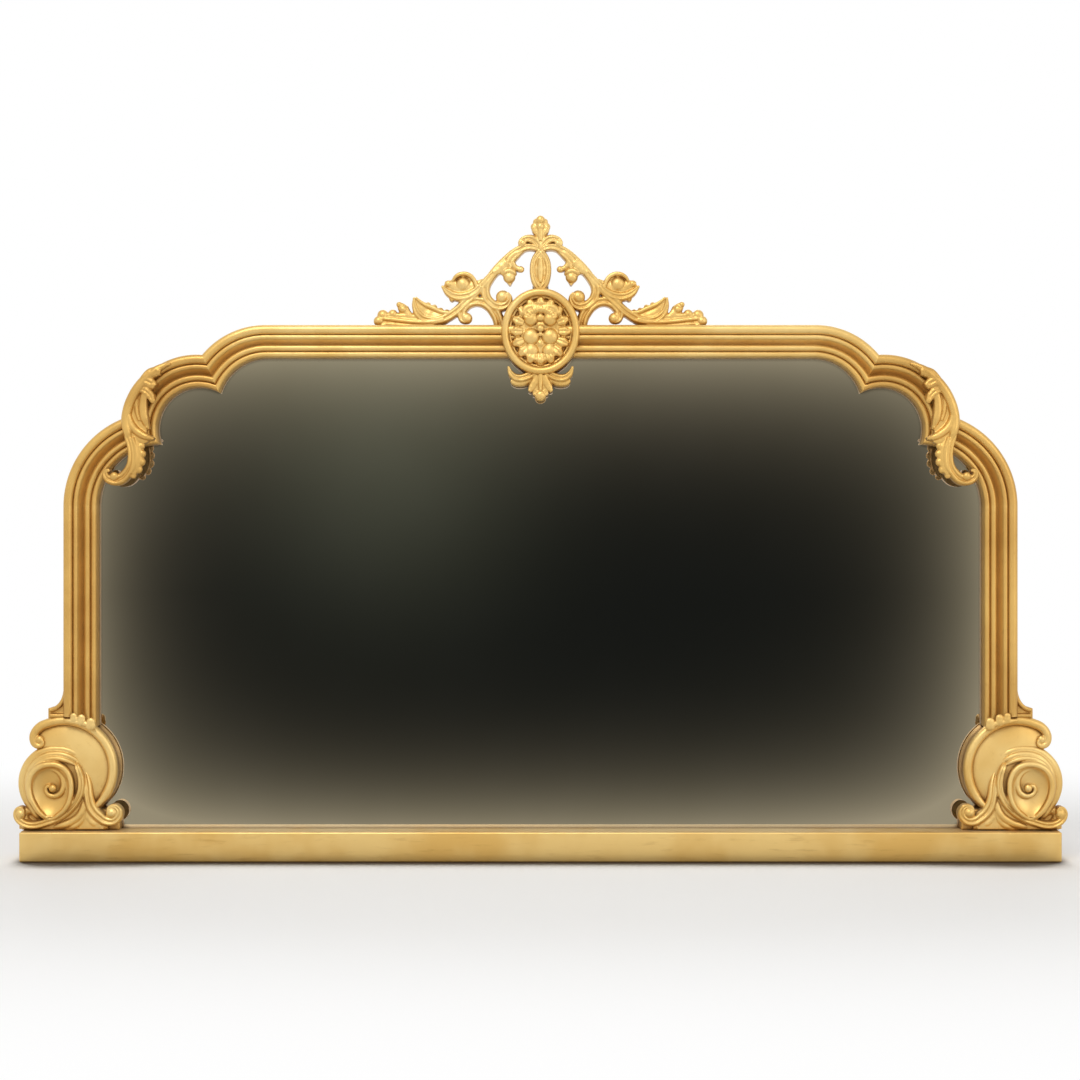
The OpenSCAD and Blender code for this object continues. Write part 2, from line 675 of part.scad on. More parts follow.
// The crest is drawn round a medallion of this width, and follows the real one
medallion_drawn_w = 118;
crest_k = medallion_w / medallion_drawn_w;

// Points given from the top edge of the frame, or from the foot of the medallion
function at_crest(pts) = [for (p = pts) [crest_k * p[0], rail_top_z + crest_k * p[1], crest_k * p[2]]];
function at_pendant(pts) = [for (p = pts) [crest_k * p[0], pendant_z + crest_k * p[1], crest_k * p[2]]];

// The halves of the crest meet the ribbons at this distance from the middle, and the finial at this height
ribbon_x = crest_k * 16;
finial_foot = crest_k * 122;

module crest_knob(x, z, r, back_y, front_y) {
    knob(crest_k * x, rail_top_z + crest_k * z, crest_k * r, back_y, front_y);
}

module medallion_outline(back_y, front_y) {
    slab(back_y, front_y) translate(medallion_c) polygon(oval(medallion_w / 2, medallion_h / 2));
}

// Packing piece between the ends of the top rail, behind the medallion
crest_block_t = 8;
module crest_block() {
    color("burlywood") intersection() {
        medallion_outline(glass_front_y, glass_front_y - crest_block_t);
        translate([-medallion_w, -plinth_d, rail_top_z - moulding_w])
            cube([2 * medallion_w, 2 * plinth_d, moulding_w]);
    }
}

// Oval plate with a raised rim and a ring of pointed leaves
module medallion() {
    leaves = 20;
    rx = medallion_w / 2 - medallion_rim_w;
    rz = medallion_h / 2 - medallion_rim_w;
    back_y = glass_front_y - crest_block_t;
    color("gold") {
        difference() {
            medallion_outline(back_y, medallion_front_y + 4);
            slab(medallion_face_y, medallion_front_y - 1) translate(medallion_c) polygon(oval(rx, rz, 48));
        }
        difference() {
            slab(medallion_front_y + 4, medallion_front_y)
                translate(medallion_c) polygon(oval(medallion_w / 2 - 3, medallion_h / 2 - 3, 48));
            slab(medallion_front_y + 5, medallion_front_y - 1)
                translate(medallion_c) polygon(oval(rx + 3, rz + 3, 48));
        }
        for (i = [0:leaves - 1]) let (a = 360 * (i + 0.5) / leaves) hull() {
            translate([rx * 0.66 * cos(a), medallion_face_y, medallion_c[1] + rz * 0.66 * sin(a)])
                rotate([90, 0, 0]) cylinder(h = 6, r1 = 5, r2 = 3, $fn = 8);
            translate([rx * 0.95 * cos(a), medallion_face_y, medallion_c[1] + rz * 0.95 * sin(a)])
                rotate([90, 0, 0]) cylinder(h = 2, r = 1, $fn = 6);
        }
    }
}

// Cluster of rounded lobes at the middle of the medallion
module medallion_boss() {
    front = medallion_front_y - 2;
    color("gold") difference() {
        union() {
            for (lobe = [[13, 15, 9], [13, -12, 9], [12, -28, 8], [11, 3, 7]]) for (s = [-1, 1])
                knob(s * crest_k * lobe[0], medallion_c[1] + crest_k * lobe[1], crest_k * lobe[2],
                     medallion_face_y, front);
            for (bead = [[4, 6, -2], [-8, 8, 3], [20, 7, 3], [-30, 6, 4]])
                knob(0, medallion_c[1] + crest_k * bead[0], crest_k * bead[1],
                     medallion_face_y, front + bead[2]);
        }
        medallion();
    }
}

// Two leaves and a hanging bud below the medallion
module medallion_pendant() {
    back_y = medallion_face_y + 8;
    front_y = medallion_front_y + 6;
    color("gold") difference() {
        union() {
            for (side = SIDES) mirrored(side) {
                roll(at_pendant([[-1, -4, 8], [16, -9, 7], [32, -7, 6], [44, 1, 5], [51, 13, 2]]),
                     back_y, front_y, 2);
                roll(at_pendant([[14, -9, 5], [30, -15, 4.5], [44, -14, 2]]), back_y, front_y + 4, 2);
                roll(at_pendant([[3.5, -7, 6], [9, -17, 7], [5.5, -28, 6]]), back_y, front_y + 2, 2);
            }
            roll(at_pendant([[0, -6, 4], [0, -20, 5], [0, -29, 4]]), back_y, front_y + 5, 1);
            knob(0, pendant_z - crest_k * 32.5, crest_k * 8, back_y, front_y);
        }
        medallion_outline(glass_front_y, medallion_front_y - 5);
    }
}

// Openwork half of the crest
module crest_scroll(side) {
    color("gold") mirrored(side) difference() {
        union() {
            // outer strand, from the crossing down to the upturned leaf
            roll(at_crest([[16, 119, 4.5], [32, 114, 5], [50, 104, 5.5], [68, 86, 6], [86, 68, 6.5],
                           [98, 52, 6.5], [115, 40, 6.5], [134, 26, 7], [152, 15, 9], [172, 14, 10],
                           [188, 25, 7], [192, 42, 1.5]]),
                 fret_back_y, fret_front_y, 2);
            // leaf that lies along the rail
            roll(at_crest([[158, 7, 6], [182, 8, 7], [204, 9, 9], [230, 9, 11], [240, 9, 9]]),
                 fret_back_y, fret_front_y + 4, 1);
            roll(at_crest([[202, 14, 6], [213, 26, 6], [219, 38, 1.5]]), fret_back_y, fret_front_y + 6, 1);
            // flower in its cupped leaf
            crest_knob(115, 68, 10, fret_back_y - 4, fret_front_y);
            roll(at_crest([[86, 64, 5], [102, 54, 7], [120, 52, 9], [138, 57, 6], [154, 61, 1.5]]),
                 fret_back_y, fret_front_y + 3, 2);
            // inner scroll with its ball
            roll(at_crest([[83, 74, 5], [79, 56, 5], [74, 40, 5.5], [66, 29, 5.5], [56, 26, 5],
                           [48, 34, 4]]), fret_back_y, fret_front_y, 2);
            crest_knob(59, 43, 10, fret_back_y - 3, fret_front_y - 2);
            // low arch and its drop
            roll(at_crest([[62, -2, 8], [70, 16, 7], [82, 32, 6.5], [98, 38, 6], [113, 33, 6],
                           [120, 22, 5.5], [119, 12, 5]]), fret_back_y, fret_front_y + 2, 2);
            crest_knob(112, 8, 8, fret_back_y, fret_front_y + 4);
            // hanging bud and tendril
            roll(at_crest([[56, 99, 5], [52, 88, 7], [50, 76, 9], [47, 62, 2]]),
                 fret_back_y - 2, fret_front_y + 4, 1);
            roll(at_crest([[47, 105, 4], [42, 92, 4], [37, 84, 4], [32, 85, 3.5]]),
                 fret_back_y - 2, fret_front_y + 6, 1);
            roll(at_crest([[60, 94, 5], [66, 84, 6], [70, 78, 3]]), fret_back_y - 2, fret_front_y + 5, 1);
        }
        translate([-10, -plinth_d, rail_top_z - 100]) cube([400, 2 * plinth_d, 100]);
        medallion_outline(glass_front_y + 5, medallion_front_y - 5);
        translate([ribbon_x - 56, -plinth_d, rail_top_z]) cube([56, 2 * plinth_d, 200]);
    }
}

// Two crossing ribbons round a drop-shaped bud
module crest_ribbon() {
    color("gold") difference() {
        union() {
            for (side = SIDES) mirrored(side)
                roll(at_crest([[20, 119, 4.5], [9, 117, 4.5], [-2, 109, 4.5], [-11, 96, 4], [-14, 80, 4],
                               [-11, 64, 4], [-2, 52, 4.5], [4, 46, 5]]), fret_back_y, fret_front_y, 1);
            roll(at_crest([[0, 97, 2.5], [0, 84, 6], [0, 72, 7], [0, 60, 4.2], [0, 52, 3.8]]),
                 fret_back_y - 3, fret_front_y + 4, 1);
        }
        medallion_outline(glass_front_y + 5, medallion_front_y - 5);
        for (side = SIDES) mirrored(side)
            translate([ribbon_x, -plinth_d, rail_top_z]) cube([50, 2 * plinth_d, 200]);
        translate([-100, -plinth_d, rail_top_z + finial_foot]) cube([200, 2 * plinth_d, 100]);
    }
}

// Bud on two out-turned leaves
module crest_finial() {
    color("gold") difference() {
        union() {
            for (side = SIDES) mirrored(side) {
                roll(at_crest([[0, 122, 8], [14, 133, 5.5], [27, 133, 5.5], [31, 127, 4], [26, 124, 3]]),
                     fret_back_y, fret_front_y, 2);
                roll(at_crest([[0, 134, 6], [8, 144, 5], [13, 152, 2]]),
                     fret_back_y - 2, fret_front_y + 3, 1);
            }
            roll(at_crest([[0, 126, 7], [0, 140, 6], [0, 152, 9], [0, 160, 7.5]]),
                 fret_back_y - 2, fret_front_y - 2, 1);
        }
        translate([-100, -plinth_d, rail_top_z + finial_foot - 100]) cube([200, 2 * plinth_d, 100]);
    }
}

// Cranked iron strap that steadies the crest from behind
brace_t = 2.5;
brace_w = 24;
brace_top_z = rail_top_z + crest_k * 108;
brace_screw_xs = [-6, 6];
brace_leg_z = rail_top_z - moulding_w + backboard_out + 1;
brace_screw_z = (brace_leg_z + rail_top_z - subframe_inset) / 2;

module crest_brace() {
    step_z = rail_top_z - subframe_inset;
    y0 = glass_front_y;
    y1 = subframe_back_y;
    color("dimgray") difference() {
        translate([-brace_w / 2, 0, 0]) rotate([90, 0, 90]) linear_extrude(brace_w)
            polygon([[y0, step_z], [y1, step_z], [y1, brace_leg_z], [y1 + brace_t, brace_leg_z],
                     [y1 + brace_t, step_z + brace_t], [y0 + brace_t, step_z + brace_t],
                     [y0 + brace_t, brace_top_z], [y0, brace_top_z]]);
        for (x = brace_screw_xs) screw_hole(x, subframe_back_y + brace_t, brace_screw_z, screw_grip);
    }
}

module crest_screws() {
    color("slategray") for (x = brace_screw_xs)
        screw(x, subframe_back_y + brace_t, brace_screw_z, screw_grip);
}

// ---------- hangers ----------

barrel_r = ring_wire_d / 2 + ring_play + strap_t;
barrel_y = subframe_back_y + barrel_r;
ring_bend_r = 3;

module hanger_strap(side) {
    color("darkkhaki") mirrored(side) difference() {
        union() {
            translate([hanger_x - strap_w / 2, subframe_back_y, hanger_z]) cube([strap_w, strap_t, strap_l]);
            translate([hanger_x - strap_w / 2, barrel_y, hanger_z]) rotate([0, 90, 0])
                cylinder(h = strap_w, r = barrel_r);
        }
        translate([hanger_x - strap_w, barrel_y, hanger_z]) rotate([0, 90, 0])
            cylinder(h = 2 * strap_w, r = ring_wire_d / 2 + ring_play);
        for (z = hanger_screw_zs) screw_hole(hanger_x, subframe_back_y + strap_t, hanger_z + z, screw_grip);
    }
}

module hanger_screws() {
    color("slategray") for (side = SIDES) mirrored(side) for (z = hanger_screw_zs)
        screw(hanger_x, subframe_back_y + strap_t, hanger_z + z, screw_grip);
}

// Closed D-ring, hanging from its straight bar
module hanger_ring(side) {
    wire_r = ring_wire_d / 2;
    bar = ring_half_w - ring_bend_r;
    color("darkkhaki") mirrored(side) translate([hanger_x, barrel_y, hanger_z]) {
        translate([-bar, 0, 0]) rotate([0, 90, 0]) cylinder(h = 2 * bar, r = wire_r);
        for (s = [0, 1]) mirror([s, 0, 0]) {
            translate([bar, 0, -ring_bend_r]) rotate([90, 0, 0]) rotate_extrude(angle = 90)
                translate([ring_bend_r, 0]) circle(r = wire_r);
            translate([ring_half_w, 0, -ring_bend_r - ring_drop]) cylinder(h = ring_drop, r = wire_r);
        }
        translate([0, 0, -ring_bend_r - ring_drop]) rotate([90, 0, 0]) rotate([0, 0, 180])
            rotate_extrude(angle = 180) translate([ring_half_w, 0]) circle(r = wire_r);
    }
}

// ---------- assembly ----------

plinth_front();
plinth_top();
plinth_back();
plinth_bottom();
plinth_blocks();
mirror_plate();
plate_blocks();
head_rail();
sill_rail();
backboard_screws();
crest_block();
medallion();
medallion_boss();
medallion_pendant();
crest_ribbon();
crest_finial();
crest_brace();
crest_screws();
hanger_screws();
for (i = [1:backboard_count]) {
    backboard(i);
}
for (side = SIDES) {
    plinth_end(side);
    upright(side);
    shoulder(side);
    stile(side);
    lower_arch(side);
    mid_arch(side);
    top_arch(side);
    top_rail(side);
    stile_bracket(side);
    collar_leaves(side);
    foot_board(side);
    foot_rim(side);
    foot_volute(side);
    shoulder_spray(side);
    crest_scroll(side);
    hanger_strap(side);
    hanger_ring(side);
}
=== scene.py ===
import math
import bpy
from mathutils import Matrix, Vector


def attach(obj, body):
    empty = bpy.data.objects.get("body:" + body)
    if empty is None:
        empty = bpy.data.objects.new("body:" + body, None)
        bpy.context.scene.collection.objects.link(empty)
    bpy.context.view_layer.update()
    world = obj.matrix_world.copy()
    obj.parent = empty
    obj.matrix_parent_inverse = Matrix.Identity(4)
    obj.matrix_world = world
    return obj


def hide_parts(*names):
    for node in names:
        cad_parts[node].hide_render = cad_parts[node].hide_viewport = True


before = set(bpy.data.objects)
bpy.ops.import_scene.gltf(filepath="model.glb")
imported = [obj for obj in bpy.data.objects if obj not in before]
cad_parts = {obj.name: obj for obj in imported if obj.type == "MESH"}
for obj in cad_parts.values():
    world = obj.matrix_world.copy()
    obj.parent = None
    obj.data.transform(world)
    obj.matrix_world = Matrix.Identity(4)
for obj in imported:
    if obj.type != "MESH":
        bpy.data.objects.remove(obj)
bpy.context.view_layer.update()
mm = 0.001


# ways of working

def clearSelection():
    if bpy.context.mode != "OBJECT":
        bpy.ops.object.mode_set(mode="OBJECT")
    bpy.ops.object.select_all(action="DESELECT")


def pick(*objects):
    clearSelection()
    for o in objects:
        o.select_set(True)
    bpy.context.view_layer.objects.active = objects[-1]
    return objects[-1]


def named(o, name):
    o.name = name
    o.data.name = name
    return o


def edited(o, action):
    pick(o)
    bpy.ops.object.mode_set(mode="EDIT")
    bpy.ops.mesh.select_all(action="SELECT")
    action()
    bpy.ops.object.mode_set(mode="OBJECT")
    return o


def applyPlace(o):
    pick(o)
    bpy.ops.object.transform_apply(location=True, rotation=True, scale=True)
    return o


def modify(o, kind, **settings):
    m = o.modifiers.new(kind.lower(), kind)
    for key, value in settings.items():
        setattr(m, key, value)
    pick(o)
    bpy.ops.object.modifier_apply(modifier=m.name)
    return o


def joined(name, objects):
    o = pick(*objects)
    if len(objects) > 1:
        bpy.ops.object.join()
    return named(o, name)


def recalculated(o):
    def mend():
        bpy.ops.mesh.remove_doubles(threshold=0.00001)
        bpy.ops.mesh.normals_make_consistent(inside=False)
    return edited(o, mend)


def cutAway(o, point, normal):
    return edited(o, lambda: bpy.ops.mesh.bisect(
        plane_co=[c * mm for c in point], plane_no=normal, use_fill=True, clear_outer=True))


def mirroredCopy(o, name):
    pick(o)
    bpy.ops.object.duplicate(linked=False)
    twin = named(bpy.context.active_object, name)
    twin.scale.x = -1
    applyPlace(twin)
    return recalculated(twin)


def smoothed(o, degrees=40):
    pick(o)
    bpy.ops.object.shade_smooth_by_angle(angle=math.radians(degrees))
    return o


def coat(o, material):
    o.data.materials.clear()
    o.data.materials.append(material)


def finished(o, material, nodeName):
    coat(o, material)
    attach(o, "frame")
    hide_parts(nodeName)


def bothSides(o, nodeName, material, sharpAngle):
    named(o, nodeName + "_carved_right")
    left = mirroredCopy(o, nodeName + "_carved_left")
    for side, half in (("right", o), ("left", left)):
        finished(smoothed(half, sharpAngle), material, nodeName + "_" + side)


# materials

class Socket:
    def __init__(self, tree, link):
        self.tree = tree
        self.link = link

    def math(self, operation, *others):
        return node(self.tree, "ShaderNodeMath", dict(enumerate((self, *others))), operation=operation)

    def __add__(self, other):
        return self.math("ADD", other)

    def __sub__(self, other):
        return self.math("SUBTRACT", other)

    def __mul__(self, other):
        return self.math("MULTIPLY", other)

    def __truediv__(self, other):
        return self.math("DIVIDE", other)

    def __radd__(self, other):
        return self.math("ADD", other)

    def __rmul__(self, other):
        return self.math("MULTIPLY", other)

    def __rsub__(self, other):
        return self.math("MULTIPLY", -1.0).math("ADD", other)

    def __pow__(self, other):
        return self.math("POWER", other)

    def between(self, low, high):
        return node(self.tree, "ShaderNodeMapRange", {"Value": self, "From Min": low, "From Max": high},
                    interpolation_type="SMOOTHSTEP")


def node(tree, kind, inputs=None, output=0, **settings):
    made = tree.nodes.new(kind)
    for key, value in settings.items():
        setattr(made, key, value)
    for key, value in (inputs or {}).items():
        if isinstance(value, Socket):
            tree.links.new(value.link, made.inputs[key])
        else:
            made.inputs[key].default_value = value
    return Socket(tree, made.outputs[output])


def srgb(*colour):
    return tuple(((c / 255 + 0.055) / 1.055) ** 2.4 for c in colour)


def newMaterial(name):
    material = bpy.data.materials.new(name)
    material.use_nodes = True
    tree = material.node_tree
    shader = next(n for n in tree.nodes if n.type == "BSDF_PRINCIPLED")
    place = node(tree, "ShaderNodeTexCoord", output="Object")
    return material, tree, shader, place


def noise(tree, place, scale, detail=3.0, roughness=0.55, stretch=None):
    if stretch:
        place = node(tree, "ShaderNodeMapping", {"Vector": place, "Scale": stretch})
    return node(tree, "ShaderNodeTexNoise",
                {"Vector": place, "Scale": scale, "Detail": detail, "Roughness": roughness})


def occlusion(tree, reach, samples):
    return node(tree, "ShaderNodeAmbientOcclusion", {"Distance": reach}, "AO", samples=samples)


def axes(tree, vector):
    return [node(tree, "ShaderNodeSeparateXYZ", {0: vector}, i) for i in range(3)]


# how a ray sees a surface: directly or in a blurred reflection, and in a sharp mirror
def rayKinds(tree):
    camera, glossy, through, mirror = (node(tree, "ShaderNodeLightPath", output="Is %s Ray" % kind)
                                       for kind in ("Camera", "Glossy", "Transmission", "Singular"))
    return camera.math("MAXIMUM", glossy).math("MAXIMUM", through), mirror


def toOutput(tree, surface):
    out = next(n for n in tree.nodes if n.type.startswith("OUTPUT"))
    tree.links.new(surface.link, out.inputs["Surface"])


def blend(tree, factor, first, second):
    inputs = {0: factor}
    for slotIndex, colour in ((6, first), (7, second)):
        inputs[slotIndex] = colour if isinstance(colour, Socket) else (*colour, 1)
    return node(tree, "ShaderNodeMix", inputs, 2, data_type="RGBA")


def wire(tree, shader, **values):
    for key, value in values.items():
        name = key.replace("_", " ")
        if isinstance(value, Socket):
            tree.links.new(value.link, shader.inputs[name])
        else:
            shader.inputs[name].default_value = value


def bump(tree, height, distance, strength):
    return node(tree, "ShaderNodeBump", {"Height": height, "Distance": distance, "Strength": strength})


gilding = {
    "light": srgb(232, 197, 124),
    "body": srgb(219, 176, 96),
    # a darker body; on the stiles and lower arches it is painted shade
    "darker_body": srgb(201, 156, 80),
    # deep is the colour of wear, and also of the painted shade in hollows, creases and side walls
    "deep": srgb(158, 106, 30),
    "dirt": srgb(84, 54, 22),
    "dust": srgb(196, 178, 146),
    "bare": srgb(164, 138, 98),
    "reach": 0.012, "metallic": 0.7, "roughness": 0.38,
    "broad": 9.0, "fine": 130.0, "speck": 420.0,
}


# wear, cavity shade, dust, wall shade and backs say how strongly each shows: 0 for not at all, 1 for fully
def giltMaterial(name, wear=0.15, grain=(1, 1, 1), cavity_shade=0.8, dust=0.25, wall_shade=0.4, backs=0.85, tint="body"):
    material, tree, shader, place = newMaterial(name)
    broad = noise(tree, place, gilding["broad"], 3.0)
    fine = noise(tree, place, gilding["fine"], 4.0, 0.6, grain)
    speck = noise(tree, place, gilding["speck"], 2.0)
    depth = (1 - occlusion(tree, gilding["reach"], 6)).between(0.18, 0.85)
    lighter = gilding["light" if tint == "body" else "body"]
    tone = blend(tree, broad.between(0.35, 0.65), gilding[tint], lighter)
    tone = blend(tree, fine.between(0.55, 0.78) * wear, tone, gilding["deep"])
    # painted shade: the hollows are darkened by how hidden they are
    tone = blend(tree, depth * cavity_shade, tone, gilding["deep"])
    tone = blend(tree, depth.between(0.75, 1.0) * speck.between(0.45, 0.6) * 0.5, tone, gilding["dirt"])
    # painted shade darkens the creases; the arrises are lighter, partly rubbed wear and partly a painted
    # highlight
    sharp = node(tree, "ShaderNodeNewGeometry", output="Pointiness")
    tone = blend(tree, sharp.between(0.49, 0.43) * 0.42, tone, gilding["deep"])
    tone = blend(tree, sharp.between(0.53, 0.62) * fine.between(0.3, 0.6) * 0.5, tone, gilding["light"])
    backward, upward = axes(tree, node(tree, "ShaderNodeNewGeometry", output="Normal"))[1:]
    # painted shade on the sides that face away from the front
    tone = blend(tree, backward.between(-0.3, 0.1) * wall_shade, tone, gilding["deep"])
    tone = blend(tree, backward.between(0.3, 0.8) * backs, tone, gilding["bare"])
    settled = upward.between(0.75, 1.0) * broad.between(0.2, 0.6)
    tone = blend(tree, settled * dust, tone, gilding["dust"])
    rough = gilding["roughness"] + (fine - 0.5) * 0.22 + depth * 0.2 + settled * 0.2
    height = broad * 0.35 + fine * 0.4 + speck * 0.12
    wire(tree, shader, Base_Color=tone, Metallic=gilding["metallic"], Roughness=rough, Coat_Weight=0.15,
         Coat_Roughness=0.3, Normal=bump(tree, height, 0.0006, 0.5))
    return material


pine = {"rings": 17.0, "fibre": 90.0, "streaks": 24.0, "grime": 5.0, "dirt": srgb(92, 74, 56),
        "alongX": (0.12, 1, 1), "alongZ": (1, 1, 0.12)}


def pineMaterial(name, light, dark, along, dust=0.3, shift=0.0):
    material, tree, shader, place = newMaterial(name)
    stretched = node(tree, "ShaderNodeMapping",
                     {"Vector": place, "Scale": along, "Location": (shift, 0.3 * shift, shift)})
    rings = node(tree, "ShaderNodeTexWave",
                 {"Vector": stretched, "Scale": pine["rings"] + shift, "Distortion": 7.0, "Detail": 3.0,
                  "Detail Scale": 1.1}, wave_type="RINGS", rings_direction="X")
    fibre = noise(tree, place, pine["fibre"], 4.0, 0.6, along)
    streaks = noise(tree, stretched, pine["streaks"], 6.0, 0.65, (0.4, 1, 1)).between(0.3, 0.7)
    grime = noise(tree, place, pine["grime"], 4.0)
    tone = blend(tree, rings * 0.22 + streaks * 0.5 + fibre * 0.28, srgb(*light), srgb(*dark))
    tone = blend(tree, grime.between(0.45, 0.75) * dust, tone, pine["dirt"])
    wire(tree, shader, Base_Color=tone, Roughness=0.72 + (fibre - 0.5) * 0.2,
         Normal=bump(tree, rings * 0.15 + streaks * 0.2 + fibre, 0.0006, 0.6))
    return material


def metalMaterial(name, bright, dull, metallic, roughness):
    material, tree, shader, place = newMaterial(name)
    patches = noise(tree, place, 60.0, 4.0)
    grain = noise(tree, place, 420.0, 2.0)
    tone = blend(tree, patches.between(0.35, 0.65), srgb(*bright), srgb(*dull))
    wire(tree, shader, Base_Color=tone, Metallic=metallic, Roughness=roughness + (patches - 0.5) * 0.3,
         Normal=bump(tree, grain + patches, 0.0003, 0.4))
    return material


def mirrorMaterial(name):
    material, tree, shader, place = newMaterial(name)
    specks = noise(tree, place, 160.0, 3.0, 0.6).between(0.74, 0.8)
    haze = noise(tree, place, 3.0, 3.0)
    tone = blend(tree, haze.between(0.3, 0.7), srgb(214, 212, 204), srgb(222, 220, 214))
    tone = blend(tree, specks * 0.25, tone, srgb(120, 104, 82))
    # painted shade along the frame's edge, where the moulding hides the plate
    frameEdgeShade = (1 - occlusion(tree, gilding["reach"], 8)).between(0.3, 0.5)
    tone = blend(tree, frameEdgeShade * 0.75, tone, srgb(96, 80, 56))
    wire(tree, shader, Base_Color=tone, Metallic=1.0, Roughness=0.0)
    return material


giltMoulding = giltMaterial("gilt_moulding", wear=0.2, cavity_shade=0.1)
# the stiles and lower arches take a darker gilt, as painted shade for the less light their sides get
shadedGiltStile = giltMaterial("gilt_stile_shaded", wear=0.2, cavity_shade=0.08, tint="darker_body")
giltCarving = giltMaterial("gilt_carving", wall_shade=0.55)
giltSpray = giltMaterial("gilt_spray", cavity_shade=0.45, wall_shade=0.6, tint="darker_body")
giltPlinth = giltMaterial("gilt_plinth", wear=0.3, grain=(0.15, 1, 1), cavity_shade=0.4, dust=0.6, wall_shade=0, backs=0)
blackIron = metalMaterial("black_iron", (58, 52, 48), (92, 66, 48), 0.8, 0.55)
dullSteel = metalMaterial("dull_steel", (150, 144, 134), (104, 92, 80), 1.0, 0.42)
oldBrass = metalMaterial("old_brass", (196, 160, 92), (134, 100, 52), 1.0, 0.36)
planed = (206, 166, 116), (166, 118, 70)  # light and dark grain
roughSawn = [((176, 136, 94), (132, 94, 60), 0.7, 0.4), ((160, 120, 82), (120, 84, 54), 0.55, 1.7),
             ((182, 144, 102), (138, 100, 64), 0.5, 2.9), ((168, 126, 86), (124, 88, 56), 0.6, 4.1)]

nodeMaterials = [
    (mirrorMaterial("silvered_glass"), ["mirror_plate"]),
    (pineMaterial("bare_pine", *planed, pine["alongX"]), [
        "plinth_back", "plinth_bottom", "plinth_blocks", "plate_blocks", "head_rail", "sill_rail",
        "crest_block"]),
    (pineMaterial("upright_pine", *planed, pine["alongZ"]), [
        "upright_left", "upright_right", "shoulder_left", "shoulder_right"]),
    (blackIron, ["crest_brace"]),
    (dullSteel, ["crest_screws", "backboard_screws", "hanger_screws"]),
    (oldBrass, ["hanger_strap_left", "hanger_strap_right", "hanger_ring_left", "hanger_ring_right"]),
    (giltPlinth, ["plinth_top"]),
]
for i, (light, dark, dust, shift) in enumerate(roughSawn, 1):  # one plank each
    plank = pineMaterial("backboard_pine_%d" % i, light, dark, pine["alongX"], dust, shift)
    nodeMaterials.append((plank, ["backboard_%d" % i]))
for material, nodeNames in nodeMaterials:
    for nodeName in nodeNames:
        coat(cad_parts[nodeName], material)
carvedNodes = ("collar_leaves", "foot_", "shoulder_spray", "crest_scroll", "medallion", "crest_ribbon",
               "crest_finial")
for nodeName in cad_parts:
    if nodeName.startswith(carvedNodes):
        coat(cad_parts[nodeName], giltCarving)
print("materials made")


# moulding: the section is drawn once, then spun or drawn out and cut at its mitres

moulding = {
    "width": 48, "lip": 14,
    "sightBead": (5.4, 18, 4.6), "innerBead": (14.3, 22.8, 4.5), "outerBead": (41, 33, 7),
    "cymaFoot": (19, 21.8), "cymaHead": (30, 32.5, 3.6),
    "glassFront": 6,
    "sightX": 669, "plinthTop": 45, "springZ": 533,
    "lowerArch": ((575, 533), 94), "midArch": ((516.5, 650), 63), "topArch": ((413.5, 682.5), 75),
    "stileStart": 60,  # above the plinth top, inside the foot
    "railStart": 30,  # from the middle, behind the medallion
    "footCentre": (717, 137), "footRadius": 80,
    "stepDegrees": 2.5, "mitreSlack": 6, "stileSteps": 24, "railSteps": 20,
}


def arcPoints(centre, radius, start, end, count):
    return [(centre[0] + radius * math.cos(math.radians(start + (end - start) * i / count)),
             centre[1] + radius * math.sin(math.radians(start + (end - start) * i / count)))
            for i in range(count + 1)]


def sectionPoints():
    m = moulding
    foot, outer = m["cymaFoot"], m["outerBead"]
    arris = arcPoints(m["cymaHead"], m["cymaHead"][2], 110, 10, 8)
    head = arris[0]
    cyma = [(foot[0] + t * (head[0] - foot[0]), foot[1] + (3 * t * t - 2 * t ** 3) * (head[1] - foot[1]))
            for t in (i / 12 for i in range(12))]
    return ([(0, 0), (0, m["lip"])] + arcPoints(m["sightBead"], m["sightBead"][2], 180, 30, 14)
            + arcPoints(m["innerBead"], m["innerBead"][2], 165, 0, 14) + cyma + arris
            + [(outer[0] - outer[2] - 0.2, outer[1] - 0.6)] + arcPoints(outer, outer[2], 170, 0, 20)
            + [(m["width"], 0)])


def sectionFace(name, place):
    points = sectionPoints()
    clearSelection()
    bpy.ops.mesh.primitive_circle_add(vertices=len(points), fill_type="NGON")
    o = named(bpy.context.active_object, name)
    for vertex, (out, up) in zip(o.data.vertices, points):
        vertex.co = Vector(place(out, up)) * mm
    return o


# where two circles cross, on the sight side
def crossing(c1, r1, c2, r2):
    gap = math.dist(c1, c2)
    ux, uz = (c2[0] - c1[0]) / gap, (c2[1] - c1[1]) / gap
    along = (r1 * r1 - r2 * r2 + gap * gap) / (2 * gap)
    off = math.sqrt(r1 * r1 - along * along)
    return c1[0] + along * ux + off * uz, c1[1] + along * uz - off * ux


def heading(point, centre):
    return math.degrees(math.atan2(point[1] - centre[1], point[0] - centre[0]))


def spunArch(name, arch, start, end):
    (cx, cz), radius = arch
    a = math.radians(start)
    front = moulding["glassFront"]
    o = sectionFace(name, lambda out, up: (cx + (radius + out) * math.cos(a), front - up,
                                           cz + (radius + out) * math.sin(a)))
    steps = max(4, round((end - start) / moulding["stepDegrees"]))
    return recalculated(edited(o, lambda: bpy.ops.mesh.spin(
        steps=steps, angle=math.radians(end - start), center=(cx * mm, 0, cz * mm), axis=(0, 1, 0))))


def drawnOut(o, by, steps=1):
    step = tuple(c * mm / steps for c in by)

    def extrude():
        for _ in range(steps):
            bpy.ops.mesh.extrude_region_move(TRANSFORM_OT_translate={"value": step})
    return recalculated(edited(o, extrude))


def mitred(o, cusp, side):
    inner, outer = cusp
    u = Vector((outer[0] - inner[0], 0, outer[1] - inner[1])).normalized()
    return cutAway(o, (inner[0], 0, inner[1]), Vector((u.z, 0, -u.x)) * side)


